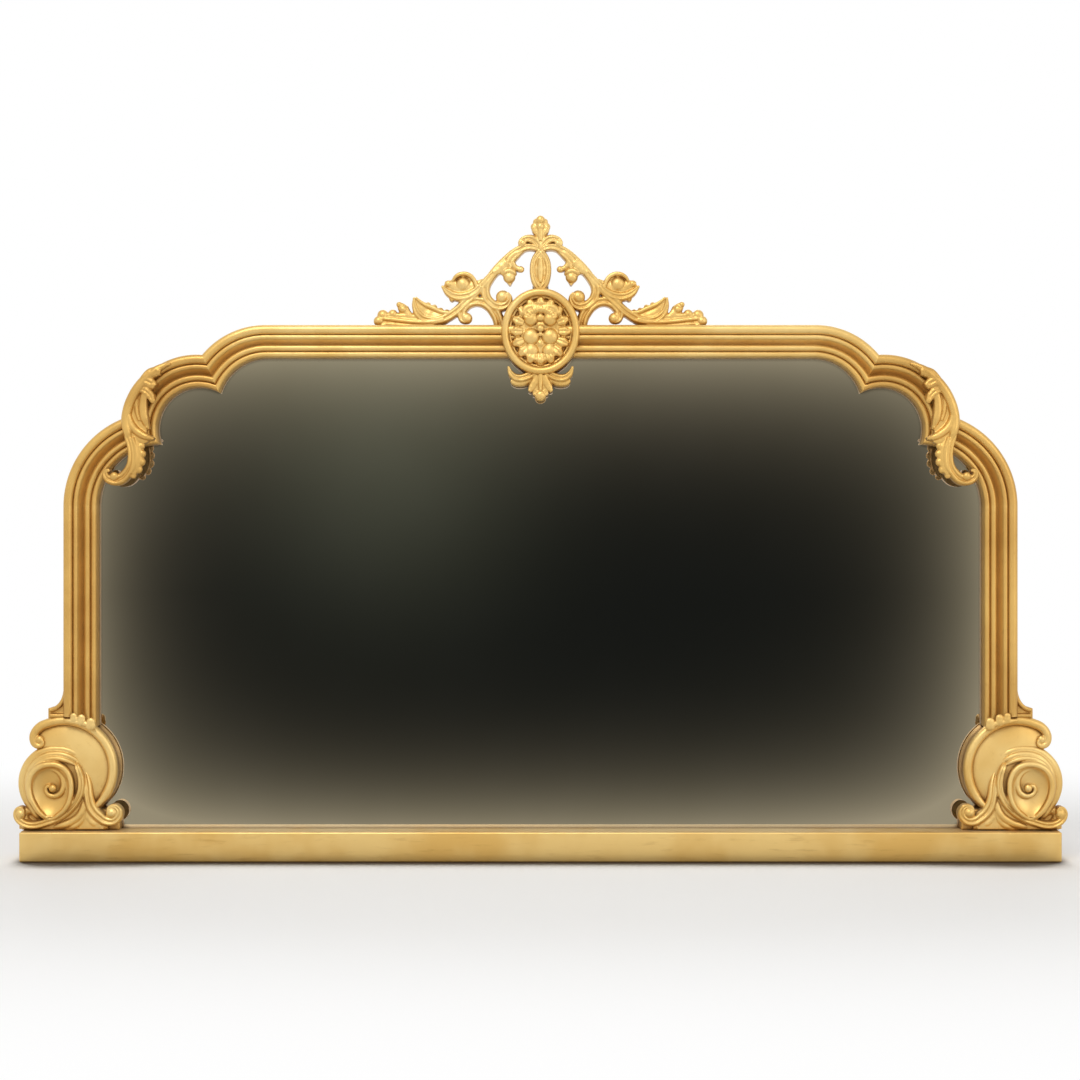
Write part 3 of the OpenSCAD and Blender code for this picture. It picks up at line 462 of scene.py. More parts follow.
def carvedStile():
    m = moulding
    start = m["plinthTop"] + m["stileStart"]
    stile = sectionFace("stile", lambda out, up: (m["sightX"] + out, m["glassFront"] - up, start))
    stile = drawnOut(stile, (0, 0, m["springZ"] - start), m["stileSteps"])
    x, z = m["footCentre"]
    bpy.ops.mesh.primitive_cylinder_add(vertices=96, radius=m["footRadius"] * mm, depth=0.2,
                                        location=(x * mm, -0.02, z * mm), rotation=(math.pi / 2, 0, 0))
    disc = bpy.context.active_object
    modify(stile, "BOOLEAN", operation="DIFFERENCE", object=disc, solver="EXACT")
    bpy.data.objects.remove(disc)
    return stile


def makeMouldings():
    m = moulding
    lower, mid, top, slack = m["lowerArch"], m["midArch"], m["topArch"], m["mitreSlack"]
    lowCusp, highCusp = ([crossing(one[0], one[1] + out, two[0], two[1] + out) for out in (0, m["width"])]
                         for one, two in ((lower, mid), (mid, top)))
    made = {"stile": carvedStile()}
    arch = spunArch("lower_arch", lower, 0, heading(lowCusp[0], lower[0]) + slack)
    made["lower_arch"] = mitred(arch, lowCusp, -1)
    arch = spunArch("mid_arch", mid, heading(lowCusp[0], mid[0]) - slack,
                    heading(highCusp[0], mid[0]) + slack)
    made["mid_arch"] = mitred(mitred(arch, lowCusp, 1), highCusp, -1)
    arch = spunArch("top_arch", top, heading(highCusp[0], top[0]) - slack, 90)
    made["top_arch"] = mitred(arch, highCusp, 1)
    (x, z), radius = top
    rail = sectionFace("top_rail", lambda out, up: (m["railStart"], m["glassFront"] - up, z + radius + out))
    made["top_rail"] = drawnOut(rail, (x - m["railStart"], 0, 0), m["railSteps"])
    for name, right in made.items():
        # the stile and lower arches take the darker gilt, which is painted shade
        finish = shadedGiltStile if name in ("stile", "lower_arch", "mid_arch") else giltMoulding
        bothSides(right, name, finish, 35)


makeMouldings()
print("mouldings made")


# plinth boards

plinth = {"halfLength": 780, "depth": 90, "height": 45, "board": 15, "arris": 2.5, "endArris": 1.0,
          "cuts": 40}


def board(name, low, high, arris, cuts=1):
    clearSelection()
    bpy.ops.mesh.primitive_cube_add(size=1, location=[(a + b) / 2 * mm for a, b in zip(low, high)],
                                    scale=[(b - a) * mm for a, b in zip(low, high)])
    o = named(applyPlace(bpy.context.active_object), name)
    edited(o, lambda: bpy.ops.mesh.bevel(offset=arris * mm, segments=5, profile=0.5, affect="EDGES"))
    for i in range(1, cuts):
        x = low[0] + i * (high[0] - low[0]) / cuts
        edited(o, lambda: bpy.ops.mesh.bisect(plane_co=(x * mm, 0, 0), plane_no=(1, 0, 0)))
    return smoothed(o)


def makePlinth():
    p = plinth
    half, back, high = p["halfLength"], p["depth"] / 2, p["height"]
    inside = p["board"] - back
    face = board("plinth_front_board", (-half, -back, 0), (half, inside, high), p["arris"], p["cuts"])
    finished(face, giltPlinth, "plinth_front")
    for side, sign in (("left", -1), ("right", 1)):
        left, right = sorted((sign * half, sign * (half - p["board"])))
        end = board("plinth_end_board_" + side, (left, inside, 0), (right, back, high), p["endArris"])
        finished(end, giltPlinth, "plinth_end_" + side)


makePlinth()
print("plinth made")


# carving: strands, leaves and buds are laid over each other, fused, softened and cut flat behind

carving = {"voxel": 0.8, "softening": 3, "curveSteps": 6, "below": -2, "sharpAngle": 62}


def sectionOutline(kind):
    across = [math.cos(math.radians(a)) for a in range(0, 181, 9)]

    def rounded(u):
        return math.sqrt(max(0.0, 1 - u * u))
    dome = {
        "roll": rounded,
        "flute": lambda u: rounded(u) * (1 - 0.5 * math.exp(-(u / 0.3) ** 2)),
        "leaf": lambda u: 0.4 + 0.6 * rounded(u) - 0.24 * math.exp(-(u / 0.2) ** 2),
        "petal": lambda u: 0.5 + 0.5 * rounded(u),
        "trough": lambda u: (0.25 + 0.75 * u * u) * math.sqrt(max(0.0, 1 - u ** 8)),
    }[kind]
    return [(u, dome(u)) for u in across] + [(-1.0, -1.0), (1.0, -1.0)]


def sectionObject(kind):
    name = "section_" + kind
    if name in bpy.data.objects:
        return bpy.data.objects[name]
    outline = sectionOutline(kind)
    data = bpy.data.curves.new(name, "CURVE")
    data.dimensions = "2D"
    data.fill_mode = "NONE"
    spline = data.splines.new("POLY")
    spline.points.add(len(outline) - 1)
    for point, (u, v) in zip(spline.points, outline):
        point.co = (u, v, 0, 1)
    spline.use_cyclic_u = True
    o = bpy.data.objects.new(name, data)
    bpy.context.scene.collection.objects.link(o)
    o.hide_render = True
    return o


# strands are (kind, top, points), with points (x, z, half width) or (x, z, half width, own top), all in mm
# from a place (x, z, top); a top is the height of the ridge, and 0 is the place's own
def strandMesh(strands, place=(0, 0, 0)):
    made = []
    for kind in sorted({s[0] for s in strands}):
        clearSelection()
        bpy.ops.curve.primitive_bezier_curve_add(location=(0, 0, 0))
        o = bpy.context.active_object
        data = o.data
        data.splines.clear()
        data.dimensions = "3D"
        data.twist_mode = "Z_UP"
        data.resolution_u = carving["curveSteps"]
        data.bevel_mode = "OBJECT"
        data.bevel_object = sectionObject(kind)
        for _, top, points in (s for s in strands if s[0] == kind):
            spline = data.splines.new("BEZIER")
            spline.bezier_points.add(len(points) - 1)
            for knot, (x, z, half, *ownTop) in zip(spline.bezier_points, points):
                ridge = (ownTop[0] if ownTop else top) + place[2]
                knot.co = ((x + place[0]) * mm, (z + place[1]) * mm, (ridge - half) * mm)
                knot.radius = half * mm
            for knot in spline.bezier_points:
                knot.handle_left_type = "AUTO"
                knot.handle_right_type = "AUTO"
        pick(o)
        bpy.ops.object.convert(target="MESH")
        made.append(uprightWalls(bpy.context.active_object, len(sectionOutline(kind))))
    return made


# each ring's last two corners drop straight down from its sides to just behind the back plane
def uprightWalls(o, ring):
    vertices = o.data.vertices
    for first in range(0, len(vertices), ring):
        for corner, above in ((ring - 2, ring - 3), (ring - 1, 0)):
            side = vertices[first + above].co
            vertices[first + corner].co = (side.x, side.y, carving["below"] * mm)
    return edited(o, lambda: bpy.ops.mesh.fill_holes(sides=0))


def roundBall(x, z, up, radius, scale, segments=20, rings=12):
    clearSelection()
    bpy.ops.mesh.primitive_uv_sphere_add(segments=segments, ring_count=rings, radius=radius * mm,
                                         location=(x * mm, z * mm, up * mm), scale=scale)
    return applyPlace(bpy.context.active_object)


# balls are (x, z, radius, top) from the same kind of place
def ballMesh(balls, place=(0, 0, 0), squash=0.8):
    return [roundBall(x + place[0], z + place[1], top + place[2] - radius * squash, radius, (1, 1, squash))
            for x, z, radius, top in balls]


# a slab with the outline of points (x, z), from just behind the back plane up to a height
def plateMesh(points, high, place=(0, 0)):
    low = carving["below"]
    clearSelection()
    bpy.ops.mesh.primitive_circle_add(vertices=len(points), fill_type="NGON")
    o = bpy.context.active_object
    for vertex, (x, z) in zip(o.data.vertices, points):
        vertex.co = ((x + place[0]) * mm, (z + place[1]) * mm, low * mm)
    return drawnOut(o, (0, 0, high - low))


# leaflets fan out from a rib: each is (x, z, heading in degrees, length, half width, bend in degrees)
def leaflets(rows, top):
    strands = []
    for x, z, angle, length, half, bend in rows:
        points = []
        for i, share in enumerate((0.7, 1.0, 1.0, 0.45)):
            points.append((x, z, max(0.8, half * share), top - 3 * (i / 3) ** 2))
            turn = math.radians(angle + bend * i / 3)
            x += length / 3 * math.cos(turn)
            z += length / 3 * math.sin(turn)
        strands.append(("leaf", top, points))
    return strands


def carve(name, back, meshes, cuts=(), voxel=carving["voxel"], softening=carving["softening"]):
    o = joined(name, meshes)
    o.rotation_euler = (math.pi / 2, 0, 0)
    o.location = (0, back * mm, 0)
    applyPlace(o)
    modify(o, "REMESH", mode="VOXEL", voxel_size=voxel * mm, adaptivity=0.0)
    modify(o, "SMOOTH", factor=0.5, iterations=softening)
    for point, normal in [((0, back, 0), (0, 1, 0)), *cuts]:
        cutAway(o, point, normal)
    return smoothed(o, carving["sharpAngle"])


def carvedPiece(nodeName, back, meshes, **how):
    finished(carve(nodeName + "_carved", back, meshes, **how), giltCarving, nodeName)


def carvedPair(nodeName, back, meshes, material=giltCarving, slot="gilt_carving", **how):
    o = carve(nodeName + "_carved", back, meshes, **how)
    bothSides(o, nodeName, material, carving["sharpAngle"])


crest = {"railTop": 805.5, "back": 6, "relief": 24}


def crestHalf():
    place = (0, crest["railTop"], crest["relief"])
    strands = [
        # main strand arches from the ribbons into the inner scroll
        ("flute", 0, [(3, 116, 4.5), (14, 119, 5), (26, 117.5, 5.8), (38, 111, 6.8), (52, 99, 7.2),
            (65, 86, 7), (76, 72, 6.6), (83, 58, 7), (82.5, 46, 7.4), (76, 35.5, 7.5), (66, 29.5, 7.5),
            (55, 29.5, 6.5), (47.5, 36, 5), (46.5, 44, 3.4), (50, 50, 1.6)]),
        # second strand, from its shoulder out to the upturned leaf
        ("flute", 0, [(60, 92, 2, -4), (72, 79, 5), (85, 64, 6.2), (98, 49.5, 6.4), (114, 34.5, 6.8),
            (131, 19.5, 7), (150, 9.5, 7), (170, 8.5, 7), (184, 17, 6), (190, 30, 4), (191, 43, 1.2)]),
        # upturned leaf, filled behind its rib
        ("petal", -3, [(126, 24, 3), (140, 15, 7), (155, 13, 9.5), (170, 17, 10), (181, 27, 7),
            (188, 40, 2)]),
        ("roll", -1, [(138, 20, 2), (149, 21, 3.2), (160, 26, 3.6), (171, 30.5, 3.4), (180, 35.5, 2.6),
            (188, 43, 1.2)]),
        # leaf along the rail, with its small upright leaf
        ("petal", -3, [(140, 10, 5), (160, 7, 10), (184, 7.5, 11.5), (206, 8, 12), (226, 9, 12),
            (239, 9, 9)]),
        ("roll", -1, [(146, 10, 3), (164, 6, 4.2), (186, 5.5, 4.2), (208, 7.5, 4.2), (228, 10, 3.8),
            (240, 11, 2.5)]),
        ("roll", -2, [(160, 1, 3), (180, -1, 3.6), (202, 0, 3.8), (222, 1.5, 3.6), (236, 3, 2.5)]),
        ("roll", -3, [(182, 13, 3), (198, 14.5, 3.6), (214, 15.5, 3.8), (230, 16, 3)]),
        ("petal", -3, [(192, 9, 5), (200, 17, 6.5), (206, 24, 8.4), (211, 30, 6.5), (215, 35, 3)]),
        # cupped leaf under its flower
        ("petal", -3, [(86, 69, 3), (95, 62, 8.5), (108, 58, 13), (124, 58, 13.5), (137, 62, 8.5),
            (146, 64, 3)]),
        ("flute", 1, [(90, 61, 4), (100, 51, 6), (113, 45, 6.8), (127, 44.5, 6.8), (139, 50, 5.5),
            (149, 60, 1.6)]),
        ("roll", 0, [(97, 60, 2.4), (100, 69, 3.2), (107.5, 76.5, 3.4), (118, 78.5, 3.2),
            (127.5, 74.5, 2.8), (133, 67, 2, -3)]),
        # low arch, from a root against the medallion
        ("flute", -1, [(61, -8, 9), (63, 8, 9), (69, 21, 9), (79, 31.5, 8), (92, 37, 7.5), (105, 35.5, 7.5),
            (115, 28, 7.5), (119.5, 17, 6.5), (118, 9, 4.5), (112, 5, 2)]),
        # branch that drops from the strand into a hanging bud
        ("flute", 0, [(26, 114, 3, -3), (36, 108, 6), (45, 99, 7.5), (49, 89, 7), (48.5, 80, 5)]),
        ("petal", -3, [(47.3, 82, 8), (47, 74, 9), (46.5, 67, 6), (46, 60.5, 1.2)]),
        ("roll", 1, [(37.5, 77, 3, -3), (41.5, 81, 3.6), (47.5, 83, 4), (53.5, 81, 3.6),
            (57.5, 77, 3, -3)]),
        # tendril and knuckle leaf
        ("roll", -2, [(44, 102, 4.5), (41, 93, 4.2), (36.5, 87.5, 4), (30, 85.5, 4)]),
        ("petal", 0, [(50, 97, 5), (58, 89, 7), (65, 83, 6), (72, 80, 3)]),
    ]
    strands += leaflets([(143, 19, 118, 6.5, 3.8, -30), (152, 21, 112, 7, 4.2, -30),
                         (161, 25.5, 102, 7, 4.2, -30), (170, 29.5, 94, 6.5, 4, -24),
                         (110, 44, -74, 6, 4.2, 30), (121, 42, -62, 6.5, 4.4, 30),
                         (132, 43, -46, 7, 4.2, 30)], -2)
    balls = [
        (117, 63, 12, 0), (110, 68, 9, -5), (139, 63.5, 5.5, -2),  # flower and its neighbours
        (57, 43.5, 10.5, 1.5), (111.5, 11, 9, 0), (29.5, 85, 5.2, -1),  # ends of the strands
        (238, 16, 8.6, -1), (244, 7, 8, 0), (237, -1, 7.2, -1), (223, 18, 7, -2),  # tip of the long leaf
        (207.5, 25, 6.4, -1), (213.5, 32, 4.2, -2), (47, 73, 9.4, 1),  # upright leaf and hanging bud
    ]
    carvedPair("crest_scroll", crest["back"], strandMesh(strands, place) + ballMesh(balls, place),
               cuts=[((0, 0, crest["railTop"]), (0, 0, -1)), ((2, 0, 0), (-1, 0, 0))], voxel=0.9)


def bothWays(strands):
    return strands + [(kind, top, [(-p[0], *p[1:]) for p in points]) for kind, top, points in strands]


def crestMiddle():
    place = (0, crest["railTop"], crest["relief"])
    ribbon = [("flute", -1, [(-9, 119, 4), (-2, 114.5, 4.4), (4.5, 108, 4.6), (10, 98.5, 4.4),
                             (12, 87.5, 4.2), (11.6, 77, 4.2), (9, 67.5, 4.6), (5.2, 60, 5), (0, 54, 5),
                             (-6, 49, 5), (-12, 45, 5)])]
    bud = [("petal", -2, [(0, 110, 3), (0, 100, 7.5), (0, 88, 10.5), (0, 76, 9.5), (0, 66, 5), (0, 58, 3)]),
           ("roll", 0, [(0, 102, 2.5), (0, 92, 5), (0, 82, 5.6), (0, 72, 4), (0, 65, 2)])]
    carvedPiece("crest_ribbon", crest["back"], strandMesh(bothWays(ribbon) + bud, place))
    leaf = [("flute", 0, [(2, 114, 6), (5, 123, 7), (13, 130.5, 6.8), (22, 131, 6), (29, 127, 4.5),
                          (30, 122, 3), (26, 120, 1.6)]),
            ("petal", -2, [(2, 137, 3.6), (8, 143, 4.4), (11, 150, 3.4)])]
    bud = [("petal", -2, [(0, 116, 8), (0, 128, 7), (0, 137, 6.5), (0, 146, 9), (0, 155, 9.5)]),
           ("roll", 0, [(0, 128, 4), (0, 137, 4.6), (0, 147, 5.4)])]
    balls = [(26.5, 124.5, 5.2, 1), (-26.5, 124.5, 5.2, 1), (0, 149.5, 6.4, 1), (0, 159.5, 6.8, 2),
             (8.5, 149.5, 6.6, -3), (-8.5, 149.5, 6.6, -3), (6, 157, 5.4, -3), (-6, 157, 5.4, -3)]
    carvedPiece("crest_finial", crest["back"],
                strandMesh(bothWays(leaf) + bud, place) + ballMesh(balls, place))


crestHalf()
crestMiddle()
print("crest carved")


oval = {"centre": (0, 795.5), "half": (59, 65), "rim": 11.5, "back": -2, "front": 36, "field": 25,
        "petals": 16, "fan": (26, 48, 69, 90, 111, 132, 154)}


def ellipsePoints(shrink, count, phase=0.0):
    cx, cz = oval["centre"]
    return [(cx + (oval["half"][0] - shrink) * math.cos(math.radians(a + phase)),
             cz + (oval["half"][1] - shrink) * math.sin(math.radians(a + phase)))
            for a in (360 * i / count for i in range(count))]


def medallion():
    half = oval["rim"] / 2
    front, field = oval["front"], oval["field"]
    ring = [(x, z, half) for x, z in ellipsePoints(half, 40)]
    inner = [(x, z, 2.2) for x, z in ellipsePoints(oval["rim"] + 1.6, 40)]
    strands = [("roll", front, ring + ring[:2]), ("roll", field + 4, inner + inner[:2])]
    petals = (ellipsePoints(shrink, oval["petals"], 90) for shrink in (32, 21.5, 13.5))
    for start, middle, end in zip(*petals):
        strands.append(("leaf", front, [(*start, 5.5, front - 3), (*middle, 8), (*end, 3.4, front - 4)]))
    carvedPiece("medallion", oval["back"], strandMesh(strands) + [plateMesh(ellipsePoints(2, 60), field)],
                voxel=0.9)


# lobes in the middle: a fan over two brows, a bead, two full lobes, two lower lobes and a knop
def medallionBoss():
    cx, cz = oval["centre"]
    place = (cx, cz, oval["front"] + 1)
    strands = [
        ("roll", -1, [(-25, 25, 5), (-22, 34, 6), (-12, 37, 6), (0, 35.5, 5.5), (12, 37, 6), (22, 34, 6),
                      (25, 25, 5)]),
        ("roll", -6, [(-24, 24, 6), (-27, 8, 6), (-25, -12, 6.5), (-20, -30, 6), (-8, -42, 5.5), (0, -46, 5),
                      (8, -42, 5.5), (20, -30, 6), (25, -12, 6.5), (27, 8, 6), (24, 24, 6)]),
        ("petal", -7, [(-22, 9, 3), (-12, 8, 5), (0, 10, 4), (12, 8, 5), (22, 9, 3)]),
    ]
    for turn in oval["fan"]:
        along, up = math.cos(math.radians(turn)), math.sin(math.radians(turn))
        strands.append(("leaf", 1, [(16 * along, 15 + 13 * up, 3, -3), (22 * along, 13 + 20 * up, 4.6),
                                    (27 * along, 12 + 27 * up, 3.6, -2)]))
    balls = [(-14.3, 18.5, 10.8, 0), (14.3, 18.5, 10.8, 0), (0, 21, 6.5, -4), (0, 4, 5.4, 1),
             (0, -4.5, 3.4, -2), (-14.3, -8, 12.8, 0), (14.3, -8, 12.8, 0), (-13.6, -29, 11.5, -2),
             (13.6, -29, 11.5, -2), (0, -43.5, 6, -1), (0, -18, 6, -6)]
    ground = plateMesh([(cx + x * 0.6, cz + (z - cz) * 0.7) for x, z in ellipsePoints(12, 40)],
                       oval["field"] + 4)
    carvedPiece("medallion_boss", oval["back"],
                strandMesh(strands, place) + [ground] + ballMesh(balls, place, 0.65),
                cuts=[((0, oval["back"] - oval["field"], 0), (0, 1, 0))], softening=4)


def pendant():
    leaf = [("flute", 32, [(0, 741, 6), (10, 735, 6.5), (22, 727.5, 6.5), (35, 726, 6), (44, 732, 4.5),
                           (48.5, 743, 1.5)]),
            ("roll", 27, [(6, 731, 5), (17, 723, 5.5), (29, 718.5, 5.5), (40, 719, 4), (45, 722, 1.5)]),
            ("petal", 31, [(4, 730, 4), (9, 719, 5.5), (13.5, 711, 5), (17, 705, 2.4)]),
            ("petal", 29, [(3, 716, 4), (7, 706, 5.5), (9, 699, 3)])]
    middle = [("roll", 28, [(0, 745, 8), (0, 730, 9), (0, 714, 9), (0, 702, 7)]),
              ("roll", 33, [(0, 742, 3), (0, 728, 4), (0, 716, 3.4), (0, 706, 2)])]
    carvedPiece("medallion_pendant", oval["back"],
                strandMesh(bothWays(leaf) + middle) + ballMesh([(0, 699.5, 9, 32)]))


medallion()
medallionBoss()
pendant()
print("medallion carved")


foot = {"centre": (717, 137), "radius": 80, "back": 6, "board": 24, "rimTop": 34, "voluteTop": 48,
        "base": 45, "notch": 41, "undercut": 0.93, "dome": (72, 0.17), "ground": (16, -22),
        "dish": {"at": (18.5, -33), "size": (31, 40, 17), "rim": 42}}


def circlePoints(cx, cz, radius, start, end, step):
    return arcPoints((cx, cz), radius, start, end, max(2, round(abs(end - start) / step)))


def footPlate():
    cx, cz = foot["centre"]
    thick, base, undercut = foot["board"], foot["base"], foot["undercut"]
    root = plateMesh([(-82, -92), (66, -92), (66, -77), (50, -61), (-60, -61), (-82, -77)], thick - 4,
                     (cx, cz))
    outline = circlePoints(cx, cz, foot["radius"], -180, 180, 3)[:-1]
    disc = plateMesh([(min(x, cx + foot["notch"]), max(z, base)) for x, z in outline], thick - 2)
    for vertex in disc.data.vertices:  # the edge is undercut towards the back
        if vertex.co.z < mm:
            vertex.co.x = cx * mm + (vertex.co.x - cx * mm) * undercut
            vertex.co.y = max(cz * mm + (vertex.co.y - cz * mm) * undercut, base * mm)
    radius, rise = foot["dome"]
    dome = roundBall(cx, cz, thick - 4, radius, (1, 1, rise), 64, 32)
    cutAway(dome, (cx + foot["notch"], 0, 0), (1, 0, 0))
    dx, dz = foot["ground"]
    ground = plateMesh(circlePoints(cx + dx, cz + dz, 53, -180, 180, 4)[:-1], thick)
    carvedPair("foot_board", foot["back"], [root, disc, dome, ground],
               cuts=[((0, 0, base), (0, 0, -1))], voxel=1.1)


def footRim():
    place = (*foot["centre"], foot["rimTop"])
    sweep = foot["radius"] - 6.5
    rim = [(31, 44, 1.2), (31.5, 38.5, 2.6), (37, 35.5, 4.2), (43.5, 38, 5.2), (46.2, 45, 6),
           (45, 53, 6.6)]
    rim += [(x, z, 7) for x, z in circlePoints(0, 0, sweep, 60, 205, 9)]
    rim += [(x, z, 7 - i * 1.4) for i, (x, z) in enumerate(circlePoints(0, 0, sweep, 213, 229, 8))]
    carvedPair("foot_rim", foot["back"],
               strandMesh([("roll", 0, rim)], place) + ballMesh([(36.5, 45, 6.5, 1)], place),
               cuts=[((0, foot["back"] - foot["board"] + 4, 0), (0, 1, 0))])


def hollowDish():
    dish, (cx, cz) = foot["dish"], foot["centre"]
    slab = plateMesh([(-12, -14), (-5, 0), (6, 7), (20, 9), (34, 5), (45, -5), (50, -20), (50, -34),
                      (43, -50), (32, -64), (20, -71), (7, -67), (-5, -57), (-12, -42), (-13, -26)],
                     dish["rim"], (cx, cz))
    bowl = roundBall(cx + dish["at"][0], cz + dish["at"][1], dish["rim"] + 5, 1, dish["size"], 64, 32)
    modify(slab, "BOOLEAN", operation="DIFFERENCE", object=bowl, solver="EXACT")
    bpy.data.objects.remove(bowl)
    return slab


def footVolute():
    cx, cz = foot["centre"]
    place = (cx, cz, foot["voluteTop"])
    thick = foot["board"]
    strands = [
        # nested bands that run together on the sight side
        ("roll", -15, [(-31, 8, 1.5, -24), (-23, 19, 3.5, -18), (-8, 28, 5), (12, 30.5, 6), (32, 27, 6.5),
            (47.5, 16, 7), (58.5, -1, 7), (62.2, -20, 7), (59.5, -38, 6.5), (52, -54, 5.5), (42, -68, 4),
            (34, -78, 2, -22)]),
        ("roll", -11, [(-27, 4, 1.5, -24), (-18, 14.5, 3, -14), (-4, 21.5, 4), (12, 23.5, 4.5), (29, 20, 5),
            (43, 9, 5.5), (51.5, -6, 5.5), (53.5, -24, 5.5), (49.5, -42, 5), (41, -58, 4),
            (32, -70, 2, -20)]),
        ("roll", -8, [(-22, 2, 1.5, -22), (-13, 10, 3, -11), (0, 15.5, 3.8), (16, 17, 4), (32, 12.5, 4.2),
            (43, 4, 3.5), (50, -6, 2, -14)]),
        # egg-shaped rim of the dish
        ("roll", -2, [(19.5, -75, 2.4, -9), (31, -67, 3.8, -4), (43.5, -50, 4.3), (49.5, -34, 4.8),
            (50, -18, 5), (44.5, -4, 5), (33.5, 5, 4.8), (20, 8.5, 4.6), (6, 7, 4.4), (-5, 0, 4.2),
            (-11.5, -12, 4), (-13.5, -26, 3.8), (-11.5, -42, 3.8), (-5, -57, 4), (7, -68.5, 3.8, -4),
            (18.5, -75, 2.4, -9)]),
        # low coil that runs from the rim to the bud
        ("roll", -10, [(28, 2, 2), (14, 0, 3.4), (4, -7, 4.4), (-0.5, -18, 5), (1, -30, 5), (8.5, -38, 4.6),
            (18, -39, 4), (25, -33.5, 3.4), (25, -26, 3), (18, -23, 2.4)]),
        # outer strand that sweeps under the dish and out to the plinth scroll
        ("flute", -7, [(-17, 12, 2, -20), (-22, 3, 4.5), (-26, -10, 5.4), (-27, -26, 5.8), (-22, -43, 5.8),
            (-10, -59, 5.8), (6, -71, 5.8), (26, -79, 5.8), (46, -83.5, 6), (60, -80, 5.8),
            (68.8, -71.5, 5.2), (69.5, -62, 4.2), (64.5, -57.5, 3), (59.5, -60.5, 2), (59.5, -66, 1.2)]),
        # stem beside it, which turns out to the scroll on the sight side
        ("flute", -9, [(-25, 4, 2, -24), (-32, -7, 5, -16), (-36, -23, 6.8, -11), (-38, -42, 7.8),
            (-43, -58, 8.5), (-54, -70.5, 8.5), (-68, -78, 7.2), (-79.5, -75, 6), (-84.5, -65.5, 5.2),
            (-81, -57, 4.2), (-74, -54.5, 3), (-68, -57.5, 2), (-67, -63, 1.2)]),
        # low swells that fill the corner between stem and strand
        ("roll", -12, [(-30, -36, 2, -20), (-30, -52, 5.5, -14), (-26, -66, 7), (-14, -77, 7), (4, -84, 6),
            (28, -88, 3, -22)]),
        ("roll", -15, [(-31, -58, 4), (-36, -72, 7), (-46, -82, 7), (-62, -88, 3, -22)]),
        ("roll", -14, [(-32, -62, 3), (-27, -76, 5.5), (-14, -86, 6), (6, -90, 3, -20)]),
        ("roll", -16, [(44, -66, 4), (54, -62, 6), (60, -74, 8), (50, -84, 7)]),
        ("roll", -17, [(-66, -86, 5.5), (-30, -85, 6.5), (10, -85, 6.5), (56, -86, 6)]),
    ]
    balls = [(15.5, -27.5, 6, -6), (63.8, -66.5, 8, -6), (-72.5, -65, 8.2, -7)]
    corner = plateMesh([(-38, -40), (-22, -40), (-6, -60), (22, -78), (40, -82), (40, -90), (-60, -90),
                        (-46, -66)], thick + 8, (cx, cz))
    nook = plateMesh([(40, -62), (60, -56), (68, -64), (68, -90), (30, -90)], thick + 2, (cx, cz))
    dx, dz = foot["ground"]
    ground = plateMesh(circlePoints(cx + dx, cz + dz, 50, -180, 180, 5)[:-1], thick + 5)
    carvedPair("foot_volute", foot["back"],
               strandMesh(strands, place) + ballMesh(balls, place) + [hollowDish(), corner, nook, ground],
               cuts=[((0, foot["back"] - thick + 5, 0), (0, 1, 0)), ((0, 0, foot["base"]), (0, 0, -1))])


collar = {"at": (717, 217), "bracketBack": 6, "bracketRelief": 34, "out": 24, "rise": 44, "heel": 12,
          "leavesBack": -34, "leaves": 5}


def stileBracket():
    x, z = collar["at"]
    out, rise, heel, relief = (collar[key] for key in ("out", "rise", "heel", "bracketRelief"))
    hollow = [(x + out, z + heel)]
    for i in range(1, 12):
        turn = math.radians(90 * i / 12)
        hollow.append((x + out * (1 - math.sin(turn)), z + heel + (rise - heel) * (1 - math.cos(turn))))
    slab = plateMesh([(x, z - 3), (x + out, z - 3), *hollow, (x, z + rise)], relief - 6)
    edge = [("roll", relief, [(px - 2.6, pz - 2.2, 3.2) for px, pz in hollow]),
            ("roll", relief - 1, [(x + dx, z + 1, 3.4) for dx in (-1, 10, 20.5)])]
    carvedPair("stile_bracket", collar["bracketBack"], [slab] + strandMesh(edge), shadedGiltStile, "gilt_moulding",
               cuts=[((x, 0, 0), (-1, 0, 0))], voxel=0.7, softening=2)


def collarLeaves():
    place = (*collar["at"], collar["leaves"])
    strands = [("roll", -1, [(-1, -5, 2, -4), (-12, -6.5, 3.6), (-24, -8.5, 4.4), (-36, -11, 4.5),
                             (-47, -15, 4)])]
    balls = []
    for x, z, half in ((-17, -2, 5), (-28.5, -5, 6), (-42.5, -11, 6.8)):
        strands.append(("petal", -0.4, [(x, z - 7, half, -3), (x, z - 3, half * 1.1), (x, z + 2.5, half)]))
        balls.append((x, z + 3, half * 1.02, -0.3))
    carvedPair("collar_leaves", collar["leavesBack"],
               strandMesh(strands, place) + ballMesh(balls, place, 0.5), voxel=0.6)


stileBracket()
collarLeaves()
footPlate()
footRim()
footVolute()
print("feet carved")


spray = {"centre": (516.5, 650), "back": -22, "relief": 22, "blade": 14}


